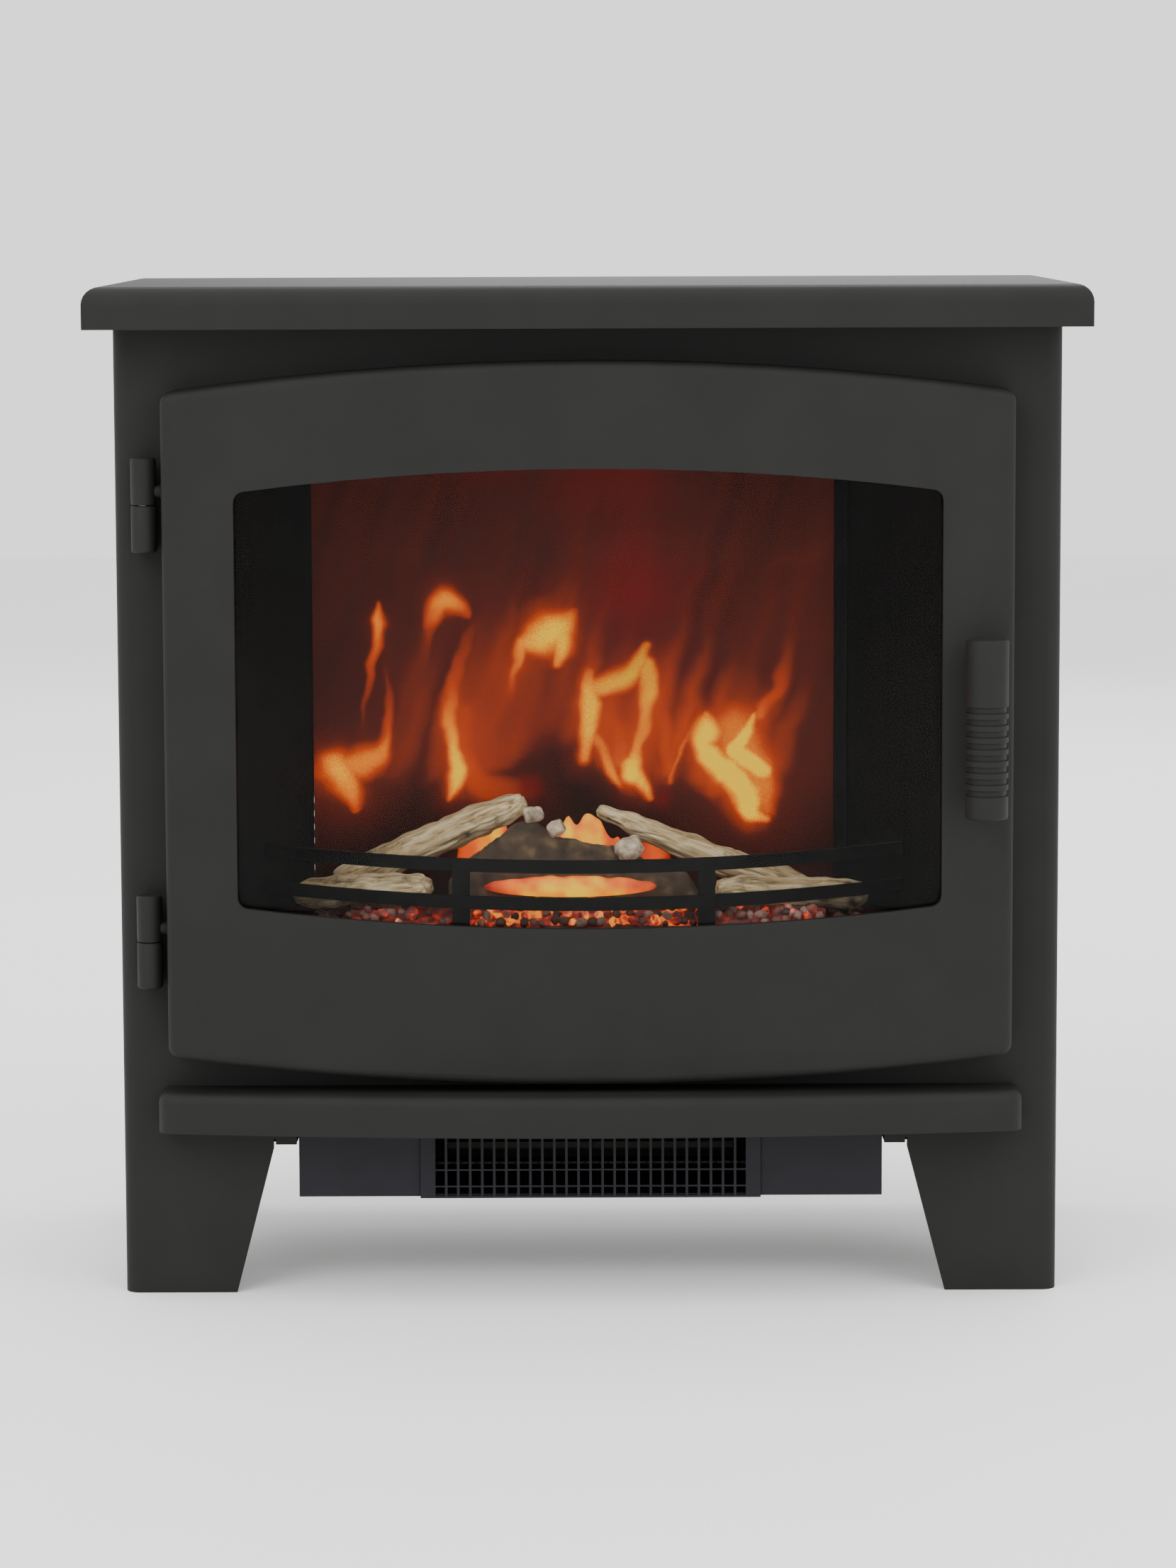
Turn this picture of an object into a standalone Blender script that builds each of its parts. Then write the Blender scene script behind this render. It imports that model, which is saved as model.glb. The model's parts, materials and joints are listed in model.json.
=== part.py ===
"""Electric stove: a steel casing on four folded legs with a glazed, hinged door, a flame-effect firebox
behind it and a fan heater slung under the body. Metres, +Z up, front towards -Y. Each sub-part is one
object.

Every piece is laid out in a working frame whose Y is zero on the front face of the fascia; the last step
slides the whole stove along Y so that the origin lies under the middle of its box.
"""

import math

import bmesh
import bpy
from mathutils import Matrix, Vector, noise

# Overall
overall_width = 0.600
overall_height = 0.615
body_depth = 0.265
clearance = 0.0003

# Top plate
plate_thickness = 0.0254
plate_wall = 0.0025
plate_roll = 0.0105
front_overhang = 0.036
side_overhang = 0.0145
rear_overhang = 0.006

# Casing sheets and legs
sheet = 0.002
back_sheet = 0.0015
corner_radius = 0.009
fascia_return = 0.022
rear_flange = 0.026
rear_corner = 0.004
leg_height = 0.092
leg_foot_width = 0.0685
leg_top_width = 0.0925
side_foot_front = 0.062
side_top_front = 0.086
side_foot_rear = 0.045
side_top_rear = 0.066
relief_width = 0.0010
relief_height = 0.0035
vent_count = 6
vent_pitch = 0.009
vent_height = 0.004
vent_half_width = 0.045
vent_x = 0.140
vent_group_drop = 0.0922
vent_group_rise = 0.130

# Hearth shelf
shelf_rise = 0.012
shelf_side_margin = 0.0235
shelf_thickness = 0.025
shelf_side_reach = 0.026
shelf_centre_reach = 0.046
shelf_corner = 0.010
shelf_round = 0.0065
shelf_wall = 0.0025

# Door leaf, an arched outline set in from the casing's edges
door_side_margin = 0.0305
door_top_margin = 0.0378
door_bottom_margin = 0.0223
door_top_rise = 0.0183
door_bottom_drop = 0.0179
door_corner = 0.0072
door_gap = 0.004
door_thickness = 0.026
door_wall = 0.005
door_edge_round = 0.0055

# Window, set in from the door's edges
window_stile = 0.0432
window_top_rail = 0.0593
window_bottom_rail = 0.0914
window_top_rise = 0.0137
window_bottom_drop = 0.0136
window_corner = 0.0068
glass_lap = 0.0070
glass_side_lap = 0.0105
glass_thickness = 0.004
gasket_thickness = 0.0015
gasket_lap = 0.0023
retainer_end_margin = 0.0318
retainer_thickness = 0.0016
retainer_lap = 0.0050
retainer_foot = 0.0090

# Opening in the fascia, which the door laps over
opening_side_lap = 0.0105
opening_top_lap = 0.0113
opening_bottom_lap = 0.0122

# Hinges
hinge_gap = 0.0038
hinge_standoff = 0.0048
knuckle_radius = 0.0077
knuckle_height = 0.0283
knuckle_gap = 0.0006
knuckle_end_wall = 0.004
knuckle_ease = 0.0008
upper_hinge_drop = 0.0674
lower_hinge_rise = 0.0687
pin_radius = 0.0030
stub_radius = 0.0038
stub_rise = 0.0083

# Handle and latch
handle_edge_distance = 0.0182
handle_top_drop = 0.1463
handle_radius = 0.0128
handle_length = 0.1075
handle_standoff = 0.0080
handle_plain = 0.0400
handle_ease = 0.0016
groove_count = 8
groove_pitch = 0.00710
groove_width = 0.0036
groove_depth = 0.0011
spindle_radius = 0.0045
spindle_play = 0.0005
spindle_end = 0.0015
boss_wall = 0.0040
boss_gap = 0.0010
bush_wall = 0.0022
bush_flange = 0.0030
bush_flange_thickness = 0.0017
cam_gap = 0.0020
cam_thickness = 0.0040
cam_reach = 0.0137
cam_half_width = 0.0045
cam_wall = 0.0025
nut_wall = 0.0023
nut_thickness = 0.0040
latch_notch_play = 0.0020
latch_side_play = 0.0015

# Firebox
liner_sheet = 0.0012
liner_side_gap = 0.0020
screen_depth = 0.120
screen_left_margin = 0.0710
screen_right_margin = 0.0900
screen_thickness = 0.003
trim_width = 0.0070
trim_thickness = 0.0020
trim_edge = 0.0005
floor_rise = 0.0270
floor_sheet = 0.0015
floor_rear_gap = 0.0182

# Fret across the front of the fire; heights are above the firebox floor
fret_y = 0.004
fret_bow = 0.065
fret_dip = 0.0025
fret_bar_height = 0.0080
fret_bar_thickness = 0.0030
fret_upper_rise = 0.0716
fret_lower_rise = 0.0487
fret_post_width = 0.0108
fret_post_front = 0.0007
fret_post_back = 0.0042
fret_post_half_spacing = 0.0750

# Ember bed
ember_gap = 0.0014
ember_rear_gap = 0.009
ember_rise = 0.0345
ember_bumps = 0.0035
ember_bump_scale = 90
ember_wall = 0.006
ember_side_gap = 0.0025
ember_hollow_margin = 0.012

# Heater under the body
heater_side_gap = 0.0145
heater_setback = 0.0010
heater_depth = 0.115
heater_drop = 0.033
heater_rise = 0.056
heater_sheet = 0.0015
heater_hole_play = 0.001
intake_pitch = 0.022
intake_half_width = 0.008
grille_side_margin = 0.0743
grille_rise = 0.0115
grille_bar = 0.0016
grille_wire = 0.0010
grille_pitch = 0.00737
grille_thickness = 0.0018
grille_drop = 0.0008
grille_bottom_bar = 0.0014
grille_top_bar = 0.0020
grille_wire_rises = (0.0065, 0.0167)
element_radius = 0.0028
element_setback = 0.016
element_rise = 0.0178
element_end = 0.010
element_post = 0.004
fan_radius = 0.020
fan_end_margin = 0.0885
fan_setback = 0.059
fan_rise = 0.0370
fan_blades = 16
fan_shaft = 0.0030
fan_disc = 0.0012
fan_blade_width = 0.0051
fan_blade_lean = math.radians(25)
fan_end_gap = 0.006
fan_motor_radius = 0.021
fan_motor_length = 0.034
fan_motor_wall = 0.008
bearing_half = 0.012
shaft_play = 0.0005
cutout_radius = 0.008
cutout_height = 0.007
cutout_end_margin = 0.0385
cutout_setback = 0.037

# Flame effect behind the screen
mask_setback = 0.032
mask_sheet = 0.0008
mask_height = 0.150
mask_end_margin = 0.006
mask_flames = 6
spinner_setback = 0.038
spinner_rise = 0.0545
spinner_radius = 0.020
spinner_shaft = 0.0030
spinner_blades = 9
spinner_blade = 0.0010
spinner_blade_share = 0.72
spinner_blade_step = math.radians(50)
spinner_end_gap = 0.004
bracket_end_margin = 0.004
bracket_thickness = 0.0015
bracket_half_depth = 0.014
motor_radius = 0.024
motor_length = 0.018
motor_wall = 0.006
strip_width = 0.010
strip_thickness = 0.0016
lamp_size = 0.005
lamp_height = 0.0012
lamp_count = 12

# Controls behind the door, below the fire
panel_setback = 0.0025
panel_sheet = 0.0015
rocker_centres = {"rocker_power": 0.110, "rocker_low_heat": 0.140, "rocker_high_heat": 0.170}
rocker_half_length = 0.0092
rocker_half_height = 0.0056
rocker_play = 0.0006
rocker_tilt = math.radians(6.0)
rocker_depth = 0.0070
board_left = -0.150
board_width = 0.110
board_depth = 0.065
board_gap = 0.032
board_rise = 0.006
board_sheet = 0.0016
gland_side_margin = 0.0445
gland_rise = 0.030
gland_radius = 0.0075
gland_bore = 0.0040
gland_depth = 0.012
gland_flange = 0.0040

# Worked out from the values above
body_half = overall_width / 2 - side_overhang
plate_depth = front_overhang + body_depth + rear_overhang
plate_bottom = overall_height - plate_thickness
casing_top = overall_height - plate_wall - clearance
shelf_bottom = leg_height + shelf_rise
shelf_half_width = body_half - shelf_side_margin
back_panel_y = body_depth - sheet - clearance - back_sheet
base_top = leg_height + 2 * back_sheet
inside_start = sheet + 2 * clearance

door_half_width = body_half - door_side_margin
door_top_side = plate_bottom - door_top_margin
door_top_centre = door_top_side + door_top_rise
door_bottom_side = shelf_bottom + shelf_thickness + door_bottom_margin
door_bottom_centre = door_bottom_side - door_bottom_drop
door_back = -door_gap
door_front = door_back - door_thickness
wall_back = door_front + door_wall
window_half_width = door_half_width - window_stile
window_top_side = door_top_side - window_top_rail
window_top_centre = window_top_side + window_top_rise
window_bottom_side = door_bottom_side + window_bottom_rail
window_bottom_centre = window_bottom_side - window_bottom_drop
opening_half_width = door_half_width - opening_side_lap
opening_top = door_top_side - opening_top_lap
opening_bottom = door_bottom_side + opening_bottom_lap

hinge_x = -(door_half_width + hinge_gap + knuckle_radius)
hinge_y = -(hinge_standoff + knuckle_radius)
hinge_heights = {"upper": door_top_side - upper_hinge_drop, "lower": door_bottom_side + lower_hinge_rise}
handle_x = door_half_width - handle_edge_distance
handle_y = door_front - handle_standoff - handle_radius
handle_top = door_top_side - handle_top_drop
handle_pivot_height = handle_top - handle_plain / 2
bush_bore = spindle_radius + spindle_play
bush_radius = bush_bore + bush_wall
boss_radius = spindle_radius + boss_wall
cam_hub = spindle_radius + cam_wall
nut_radius = spindle_radius + nut_wall
cam_y = sheet + cam_gap

screen_left = -(opening_half_width - screen_left_margin)
screen_right = opening_half_width - screen_right_margin
screen_y = screen_depth
floor_height = opening_bottom + floor_rise
floor_top = floor_height + floor_sheet + clearance
liner_front_half = opening_half_width - liner_side_gap
fret_upper = floor_height + fret_upper_rise
fret_lower = floor_height + fret_lower_rise
ember_back = screen_depth - ember_rear_gap
ember_top = floor_height + ember_rise
mask_y = screen_y + mask_setback
spinner_y = mask_y + spinner_setback
spinner_height = floor_height + spinner_rise

heater_half_width = body_half - leg_top_width - heater_side_gap
heater_front = sheet + heater_setback
heater_back = heater_front + heater_depth
heater_bottom = leg_height - heater_drop
heater_top = leg_height + heater_rise
grille_half_width = heater_half_width - grille_side_margin
grille_top = leg_height + grille_rise
fan_half_length = heater_half_width - fan_end_margin
fan_y = heater_front + fan_setback
fan_height = heater_bottom + fan_rise
panel_y = sheet + panel_setback
gland_x = body_half - rear_flange - gland_side_margin
gland_place = (gland_x, back_panel_y, base_top + gland_rise)

# The stove is centred front to back on what reaches furthest
reach_front = max(front_overhang, shelf_centre_reach, handle_radius - handle_y)
reach_back = body_depth + rear_overhang
slide_y = (reach_front - reach_back) / 2

palette = {
    "coated_steel": ((0.034, 0.034, 0.033), 0.62, 0.0),
    "black_steel": ((0.010, 0.010, 0.010), 0.70, 0.0),
    "heater_paint": ((0.021, 0.021, 0.026), 0.50, 0.0),
    "steel": ((0.55, 0.55, 0.56), 0.32, 1.0),
    "aluminium": ((0.75, 0.75, 0.76), 0.28, 1.0),
    "brass": ((0.72, 0.53, 0.24), 0.35, 1.0),
    "glass": ((0.80, 0.82, 0.82), 0.04, 0.0),
    "acrylic": ((0.060, 0.010, 0.004), 0.35, 0.0),
    "rubber": ((0.012, 0.012, 0.012), 0.85, 0.0),
    "ember_resin": ((0.26, 0.045, 0.010), 0.55, 0.0),
    "pale_wood": ((0.46, 0.37, 0.25), 0.85, 0.0),
    "charred_wood": ((0.050, 0.036, 0.024), 0.90, 0.0),
    "stone": ((0.52, 0.46, 0.37), 0.80, 0.0),
    "circuit": ((0.020, 0.110, 0.045), 0.45, 0.0),
    "black_plastic": ((0.014, 0.014, 0.015), 0.40, 0.0),
}


# Cutters pass this far through what they cut, and reach this far below the floor
through = 0.010
below_floor = 0.05


# ---- tools ----

def clear_scene():
    for thing in list(bpy.data.objects):
        bpy.data.objects.remove(thing, do_unlink=True)


def finish_for(name, kind):
    colour, roughness, metallic = palette[kind]
    material = bpy.data.materials.new(name + "_finish")
    material.use_nodes = True
    shader = material.node_tree.nodes["Principled BSDF"]
    shader.inputs["Base Color"].default_value = (*colour, 1.0)
    shader.inputs["Roughness"].default_value = roughness
    shader.inputs["Metallic"].default_value = metallic
    material.diffuse_color = (*colour, 1.0)
    return material


def add_piece(name, shape, kind, smooth=False):
    """Makes an object of a bmesh. A closed shape's faces are turned outwards."""
    bmesh.ops.recalc_face_normals(shape, faces=shape.faces)
    mesh = bpy.data.meshes.new(name)
    shape.to_mesh(mesh)
    shape.free()
    piece = bpy.data.objects.new(name, mesh)
    bpy.context.scene.collection.objects.link(piece)
    mesh.materials.append(finish_for(name, kind))
    if smooth:
        mesh.shade_smooth()
        mesh.set_sharp_from_angle(angle=math.radians(35))
    return piece


def add_tool(name, shape):
    """A helper shape that a Boolean reads; it is not a part of the stove."""
    piece = add_piece(name, shape, "rubber")
    piece.hide_render = True
    piece.display_type = "WIRE"
    return piece


def combine(piece, other, operation):
    modifier = piece.modifiers.new(operation.lower(), "BOOLEAN")
    modifier.operation = operation
    modifier.solver = "EXACT"
    modifier.object = other


def cut(piece, *tools):
    for tool in tools:
        combine(piece, tool, "DIFFERENCE")


def join(piece, *tools):
    for tool in tools:
        combine(piece, tool, "UNION")


def block(low, high, shape=None):
    shape = shape or bmesh.new()
    size = [b - a for a, b in zip(low, high)]
    middle = [(a + b) / 2 for a, b in zip(low, high)]
    place = Matrix.Translation(middle) @ Matrix.Diagonal((*size, 1.0))
    bmesh.ops.create_cube(shape, size=1.0, matrix=place)
    return shape


def prism(outline, axis, low, high):
    """A flat outline drawn across the named axis and extruded along it."""
    place = {
        "X": lambda a, b: (low, a, b),
        "Y": lambda a, b: (a, low, b),
        "Z": lambda a, b: (a, b, low),
    }[axis]
    step = Vector([high - low if axis == name else 0.0 for name in "XYZ"])
    shape = bmesh.new()
    face = shape.faces.new([shape.verts.new(place(a, b)) for a, b in outline])
    grown = bmesh.ops.extrude_face_region(shape, geom=[face])
    corners = [item for item in grown["geom"] if isinstance(item, bmesh.types.BMVert)]
    bmesh.ops.translate(shape, vec=step, verts=corners)
    return shape


def turned(profile, centre, axis="Z", segments=24, closed=False):
    """A profile of (radius, height) spun round the named axis through centre."""
    shape = bmesh.new()
    corners = [shape.verts.new((radius, 0.0, height)) for radius, height in profile]
    for a, b in zip(corners, corners[1:]):
        shape.edges.new((a, b))
    if closed:
        shape.edges.new((corners[-1], corners[0]))
    bmesh.ops.spin(
        shape, geom=shape.verts[:] + shape.edges[:], cent=(0, 0, 0), axis=(0, 0, 1),
        angle=math.tau, steps=segments, use_merge=True,
    )
    bmesh.ops.remove_doubles(shape, verts=shape.verts, dist=1e-6)
    turn = {
        "Z": Matrix.Identity(4),
        "Y": Matrix.Rotation(-math.pi / 2, 4, "X"),
        "X": Matrix.Rotation(math.pi / 2, 4, "Y"),
    }[axis]
    bmesh.ops.transform(shape, matrix=Matrix.Translation(centre) @ turn, verts=shape.verts)
    return shape


def rod(radius, low, high, centre, axis="Z", segments=24):
    return turned([(0, low), (radius, low), (radius, high), (0, high)], centre, axis, segments)


def tube(inner, outer, low, high, centre, axis="Z", segments=24):
    ring = [(inner, low), (outer, low), (outer, high), (inner, high)]
    return turned(ring, centre, axis, segments, closed=True)


def round_corner(before, corner, after, radius, steps=4):
    """The arc that eases a corner between two straight runs."""
    back = (Vector(before) - Vector(corner)).normalized()
    onward = (Vector(after) - Vector(corner)).normalized()
    half = back.angle(onward) / 2
    middle = Vector(corner) + (back + onward).normalized() * (radius / math.sin(half))
    first = Vector(corner) + back * (radius / math.tan(half)) - middle
    last = Vector(corner) + onward * (radius / math.tan(half)) - middle
    sweep = first.angle_signed(last)
    turns = [Matrix.Rotation(-sweep * i / steps, 2) for i in range(steps + 1)]
    return [tuple(middle + turn @ first) for turn in turns]


def rounded(outline, radii, steps=4):
    """An outline with the corners named in radii (index to radius) eased."""
    result = []
    for i, corner in enumerate(outline):
        if i in radii:
            after = outline[(i + 1) % len(outline)]
            result += round_corner(outline[i - 1], corner, after, radii[i], steps)
        else:
            result.append(corner)
    return result


def arch(half_width, side, centre, count=14):
    """Points from left to right on the circle that passes through both sides and the centre."""
    rise = centre - side
    radius = (half_width ** 2 + rise ** 2) / (2 * rise)
    points = []
    for i in range(count + 1):
        x = half_width * (2 * i / count - 1)
        points.append((x, centre - radius + math.copysign(math.sqrt(radius ** 2 - x ** 2), radius)))
    return points


def arched_outline(half_width, bottom_side, bottom_centre, top_side, top_centre, corner):
    bottom = arch(half_width, bottom_side, bottom_centre)
    top = arch(half_width, top_side, top_centre)[::-1]
    last = len(bottom) - 1
    outline = bottom + top
    return rounded(outline, {0: corner, last: corner, last + 1: corner, 2 * last + 1: corner})


def ease_edges(shape, chosen, radius, segments=4):
    edges = [edge for edge in shape.edges if chosen(edge)]
    bmesh.ops.bevel(
        shape, geom=edges, offset=radius, affect="EDGES", segments=segments, profile=0.5,
        material=-1, clamp_overlap=True,
    )


def lies_at(edge, index, value):
    return all(abs(corner.co[index] - value) < 1e-6 for corner in edge.verts)


def hang_on(pivot_name, pivot, pieces):
    """Puts pieces on an empty that stands on their joint's axis, with their origins there."""
    holder = bpy.data.objects.new(pivot_name, None)
    bpy.context.scene.collection.objects.link(holder)
    holder.location = pivot
    for piece in pieces:
        piece.data.transform(Matrix.Translation(-Vector(pivot)))
        piece.parent = holder
    return holder


# ---- casing ----

def make_top_plate():
    back = body_depth + rear_overhang
    half = overall_width / 2
    shape = block((-half, -front_overhang, plate_bottom), (half, back, overall_height))

    def rolled(edge):
        on_top = lies_at(edge, 2, overall_height)
        return on_top and not lies_at(edge, 1, back)

    ease_edges(shape, rolled, plate_roll, 6)
    plate = add_piece("top_plate", shape, "coated_steel", smooth=True)
    low = (-half + plate_wall, -front_overhang + plate_wall, plate_bottom - through)
    high = (half - plate_wall, back - plate_wall, overall_height - plate_roll)
    hollow = block(low, high)
    inset = plate_roll - plate_wall
    low = (low[0] + inset, low[1] + inset, low[2])
    high = (high[0] - inset, high[1], overall_height - plate_wall)
    cut(plate, add_tool("cut_plate_rim", hollow), add_tool("cut_plate_crown", block(low, high)))


def make_fascia():
    half = body_half
    inner = corner_radius - sheet
    outline = [(-half, fascia_return)]
    steps = 5
    for side in (-1, 1):
        for i in range(steps + 1):
            angle = math.pi / 2 * (i / steps if side < 0 else 1 - i / steps)
            x = side * (half - corner_radius + corner_radius * math.cos(angle))
            outline.append((x, corner_radius - corner_radius * math.sin(angle)))
    outline += [(half, fascia_return), (half - sheet, fascia_return)]
    for side in (1, -1):
        for i in range(steps + 1):
            angle = math.pi / 2 * (i / steps if side > 0 else 1 - i / steps)
            x = side * (half - corner_radius + inner * math.cos(angle))
            outline.append((x, corner_radius - inner * math.sin(angle)))
    outline.append((-half + sheet, fascia_return))
    fascia = add_piece("front_fascia", prism(outline, "Z", 0.0, casing_top), "coated_steel", smooth=True)
    before, behind = -through, through
    door_hole = block(
        (-opening_half_width, before, opening_bottom), (opening_half_width, behind, opening_top)
    )
    slope = (leg_top_width - leg_foot_width) / leg_height
    foot = half - leg_foot_width + below_floor * slope
    knee = half - leg_top_width
    gap = [(-foot, -below_floor), (foot, -below_floor), (knee, leg_height), (-knee, leg_height)]
    legs = prism(gap, "Y", before, behind)
    heater_hole_half = heater_half_width + heater_hole_play
    heater_hole = block(
        (-heater_hole_half, before, leg_height - 0.005), (heater_hole_half, behind, shelf_bottom + 0.004)
    )
    latch_low = handle_pivot_height - cam_hub - latch_side_play
    latch_high = handle_pivot_height + cam_hub + latch_side_play
    latch_slot = block(
        (opening_half_width - 0.005, before, latch_low),
        (handle_x + cam_reach + latch_notch_play, behind, latch_high),
    )
    cut(
        fascia, add_tool("cut_door_hole", door_hole), add_tool("cut_between_legs", legs),
        add_tool("cut_heater_hole", heater_hole), add_tool("cut_latch_slot", latch_slot),
    )
    for side, name in ((-1, "left"), (1, "right")):
        low = (side * knee - relief_width / 2, before, leg_height - 0.002)
        high = (side * knee + relief_width / 2, behind, leg_height + relief_height)
        cut(fascia, add_tool("cut_relief_" + name, block(low, high)))


def make_side_panel(name, side):
    outer = side * body_half
    inner = side * (body_half - sheet)
    flange = side * (body_half - rear_flange)
    outline = [
        (outer, fascia_return + clearance), (outer, body_depth), (flange, body_depth),
        (flange, body_depth - sheet), (inner, body_depth - sheet), (inner, fascia_return + clearance),
    ]
    outline = rounded(outline, {1: rear_corner, 4: rear_corner - sheet})
    panel = add_piece(name, prism(outline, "Z", 0.0, casing_top), "coated_steel", smooth=True)
    front_slope = (side_top_front - side_foot_front) / leg_height
    rear_slope = (side_top_rear - side_foot_rear) / leg_height
    gap = [
        (side_foot_front - below_floor * front_slope, -below_floor),
        (body_depth - side_foot_rear + below_floor * rear_slope, -below_floor),
        (body_depth - side_top_rear, leg_height),
        (side_top_front, leg_height),
    ]
    tool = prism(gap, "X", outer - through, outer + through)
    cut(panel, add_tool("cut_legs_" + name, tool))


def make_back_panel():
    half = body_half - rear_corner - clearance
    low = (-half, back_panel_y, base_top + clearance)
    high = (half, back_panel_y + back_sheet, casing_top)
    panel = add_piece("back_panel", block(low, high), "black_steel")
    vents = bmesh.new()
    before = back_panel_y - through
    behind = back_panel_y + through
    for x in (-vent_x, vent_x):
        for level in (casing_top - vent_group_drop, base_top + vent_group_rise):
            for i in range(vent_count):
                z = level + i * vent_pitch
                low = (x - vent_half_width, before, z)
                high = (x + vent_half_width, behind, z + vent_height)
                block(low, high, vents)
    hole = rod(gland_radius + clearance, -through, through, gland_place, "Y")
    cut(panel, add_tool("cut_vents", vents), add_tool("cut_gland_hole", hole))


def make_base_plate():
    half = body_half - sheet - clearance
    front = sheet + clearance
    back = back_panel_y + back_sheet
    notch = heater_half_width + 2 * clearance
    notch_back = heater_back + clearance
    outline = [
        (-half, front + corner_radius), (-half + corner_radius, front), (-notch, front),
        (-notch, notch_back), (notch, notch_back),
        (notch, front), (half - corner_radius, front), (half, front + corner_radius),
        (half, back - rear_corner), (half - rear_corner, back),
        (-half + rear_corner, back), (-half, back - rear_corner),
    ]
    add_piece("base_plate", prism(outline, "Z", leg_height + back_sheet, base_top), "black_steel")


def shelf_outline(inset):
    front = arch(shelf_half_width - inset, -(shelf_side_reach - inset), -(shelf_centre_reach - inset))
    back = -(clearance + inset)
    outline = front + [(shelf_half_width - inset, back), (-(shelf_half_width - inset), back)]
    radius = shelf_corner - inset
    return rounded(outline, {0: radius, len(front) - 1: radius}, 5)


def make_hearth_shelf():
    top = shelf_bottom + shelf_thickness
    shape = prism(shelf_outline(0.0), "Z", shelf_bottom, top)

    def eased(edge):
        return lies_at(edge, 2, top) and not lies_at(edge, 1, -clearance)

    ease_edges(shape, eased, shelf_round)
    shelf = add_piece("hearth_shelf", shape, "coated_steel", smooth=True)
    rim = prism(shelf_outline(shelf_wall), "Z", shelf_bottom - through, top - shelf_round)
    crown = prism(shelf_outline(shelf_round), "Z", shelf_bottom - through, top - shelf_wall)
    cut(shelf, add_tool("cut_shelf_rim", rim), add_tool("cut_shelf_crown", crown))


# ---- hinges ----

def make_hinges():
    """Lower knuckles stand on the fascia, upper knuckles carry the door, and a pin joins each pair."""
    door_pieces = []
    half_gap = knuckle_gap / 2
    bore = pin_radius + clearance
    depth = knuckle_height - knuckle_end_wall
    ease = knuckle_ease
    overlap = knuckle_radius * 0.75
    for name, height in hinge_heights.items():
        centre = (hinge_x, hinge_y, height)
        fixed = [
            (0, -knuckle_height), (knuckle_radius - ease, -knuckle_height),
            (knuckle_radius, -knuckle_height + ease), (knuckle_radius, -half_gap), (bore, -half_gap),
            (bore, -depth), (0, -depth),
        ]
        swinging = [(radius, -along) for radius, along in fixed]
        fixed_half = add_piece(name + "_casing_knuckle", turned(fixed, centre), "coated_steel", smooth=True)
        foot = block(
            (hinge_x - overlap, hinge_y + knuckle_radius * 0.6, height - knuckle_height),
            (hinge_x + overlap, -clearance, height - half_gap),
        )
        join(fixed_half, add_tool("join_foot_" + name, foot))
        door_half = add_piece(name + "_door_knuckle", turned(swinging, centre), "coated_steel", smooth=True)
        stub_centre = (0.0, hinge_y, height + stub_rise)
        stub = rod(stub_radius, hinge_x + overlap, -door_half_width - clearance, stub_centre, "X", 16)
        stub_tool = add_tool("join_stub_" + name, stub)
        join(door_half, stub_tool)
        pin = rod(pin_radius, -depth + clearance, depth - clearance, centre)
        add_piece(name + "_hinge_pin", pin, "steel", smooth=True)
        door_pieces += [door_half, stub_tool]
    return door_pieces


# ---- door ----

def window_outline():
    return arched_outline(
        window_half_width, window_bottom_side, window_bottom_centre, window_top_side, window_top_centre,
        window_corner,
    )


def door_outline(inset):
    return arched_outline(
        door_half_width - inset, door_bottom_side + inset, door_bottom_centre + inset,
        door_top_side - inset, door_top_centre - inset, door_corner - min(inset, door_corner * 0.7),
    )


def make_door():
    shape = prism(door_outline(0.0), "Y", door_back, door_front)

    def front_edge(edge):
        return lies_at(edge, 1, door_front)

    ease_edges(shape, front_edge, door_edge_round)
    frame = add_piece("door_frame", shape, "coated_steel", smooth=True)
    window = add_tool("cut_window", prism(window_outline(), "Y", door_front - through, wall_back + through))
    recess = add_tool("cut_door_back", prism(door_outline(door_wall), "Y", wall_back, door_back + through))
    bush_place = (handle_x, wall_back, handle_pivot_height)
    bush_hole = rod(bush_radius + clearance, -2 * through, 2 * through, bush_place, "Y")
    bush_tool = add_tool("cut_bush_hole", bush_hole)
    cut(frame, window, recess, bush_tool)

    half = window_half_width + glass_side_lap
    low = window_bottom_centre - glass_lap
    high = window_top_centre + glass_lap
    gasket_front = wall_back + clearance
    gasket_back = gasket_front + gasket_thickness
    ring = block((-half, gasket_front, low), (half, gasket_back, high))
    gasket = add_piece("glass_gasket", ring, "rubber")
    lap = gasket_lap
    inside = block(
        (-window_half_width - lap, gasket_front - through, window_bottom_centre - lap),
        (window_half_width + lap, gasket_back + through, window_top_centre + lap),
    )
    gasket_tool = add_tool("cut_gasket", inside)
    cut(gasket, gasket_tool)
    glass_front = gasket_back + clearance
    glass_back = glass_front + glass_thickness
    glass = add_piece("door_glass", block((-half, glass_front, low), (half, glass_back, high)), "glass")

    pieces = [frame, window, recess, bush_tool, gasket, gasket_tool, glass]
    strip_front = glass_back + clearance
    strip_back = strip_front + retainer_thickness
    strip_half = window_half_width - retainer_end_margin
    for name, edge, way in (("upper", high, 1), ("lower", low, -1)):
        section = [
            (strip_front, edge - way * retainer_lap), (strip_front, edge + way * clearance),
            (gasket_front, edge + way * clearance), (gasket_front, edge + way * retainer_foot),
            (strip_back, edge + way * retainer_foot), (strip_back, edge - way * retainer_lap),
        ]
        strip = prism(section, "X", -strip_half, strip_half)
        pieces.append(add_piece(name + "_glass_retainer", strip, "steel"))
    return pieces


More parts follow.
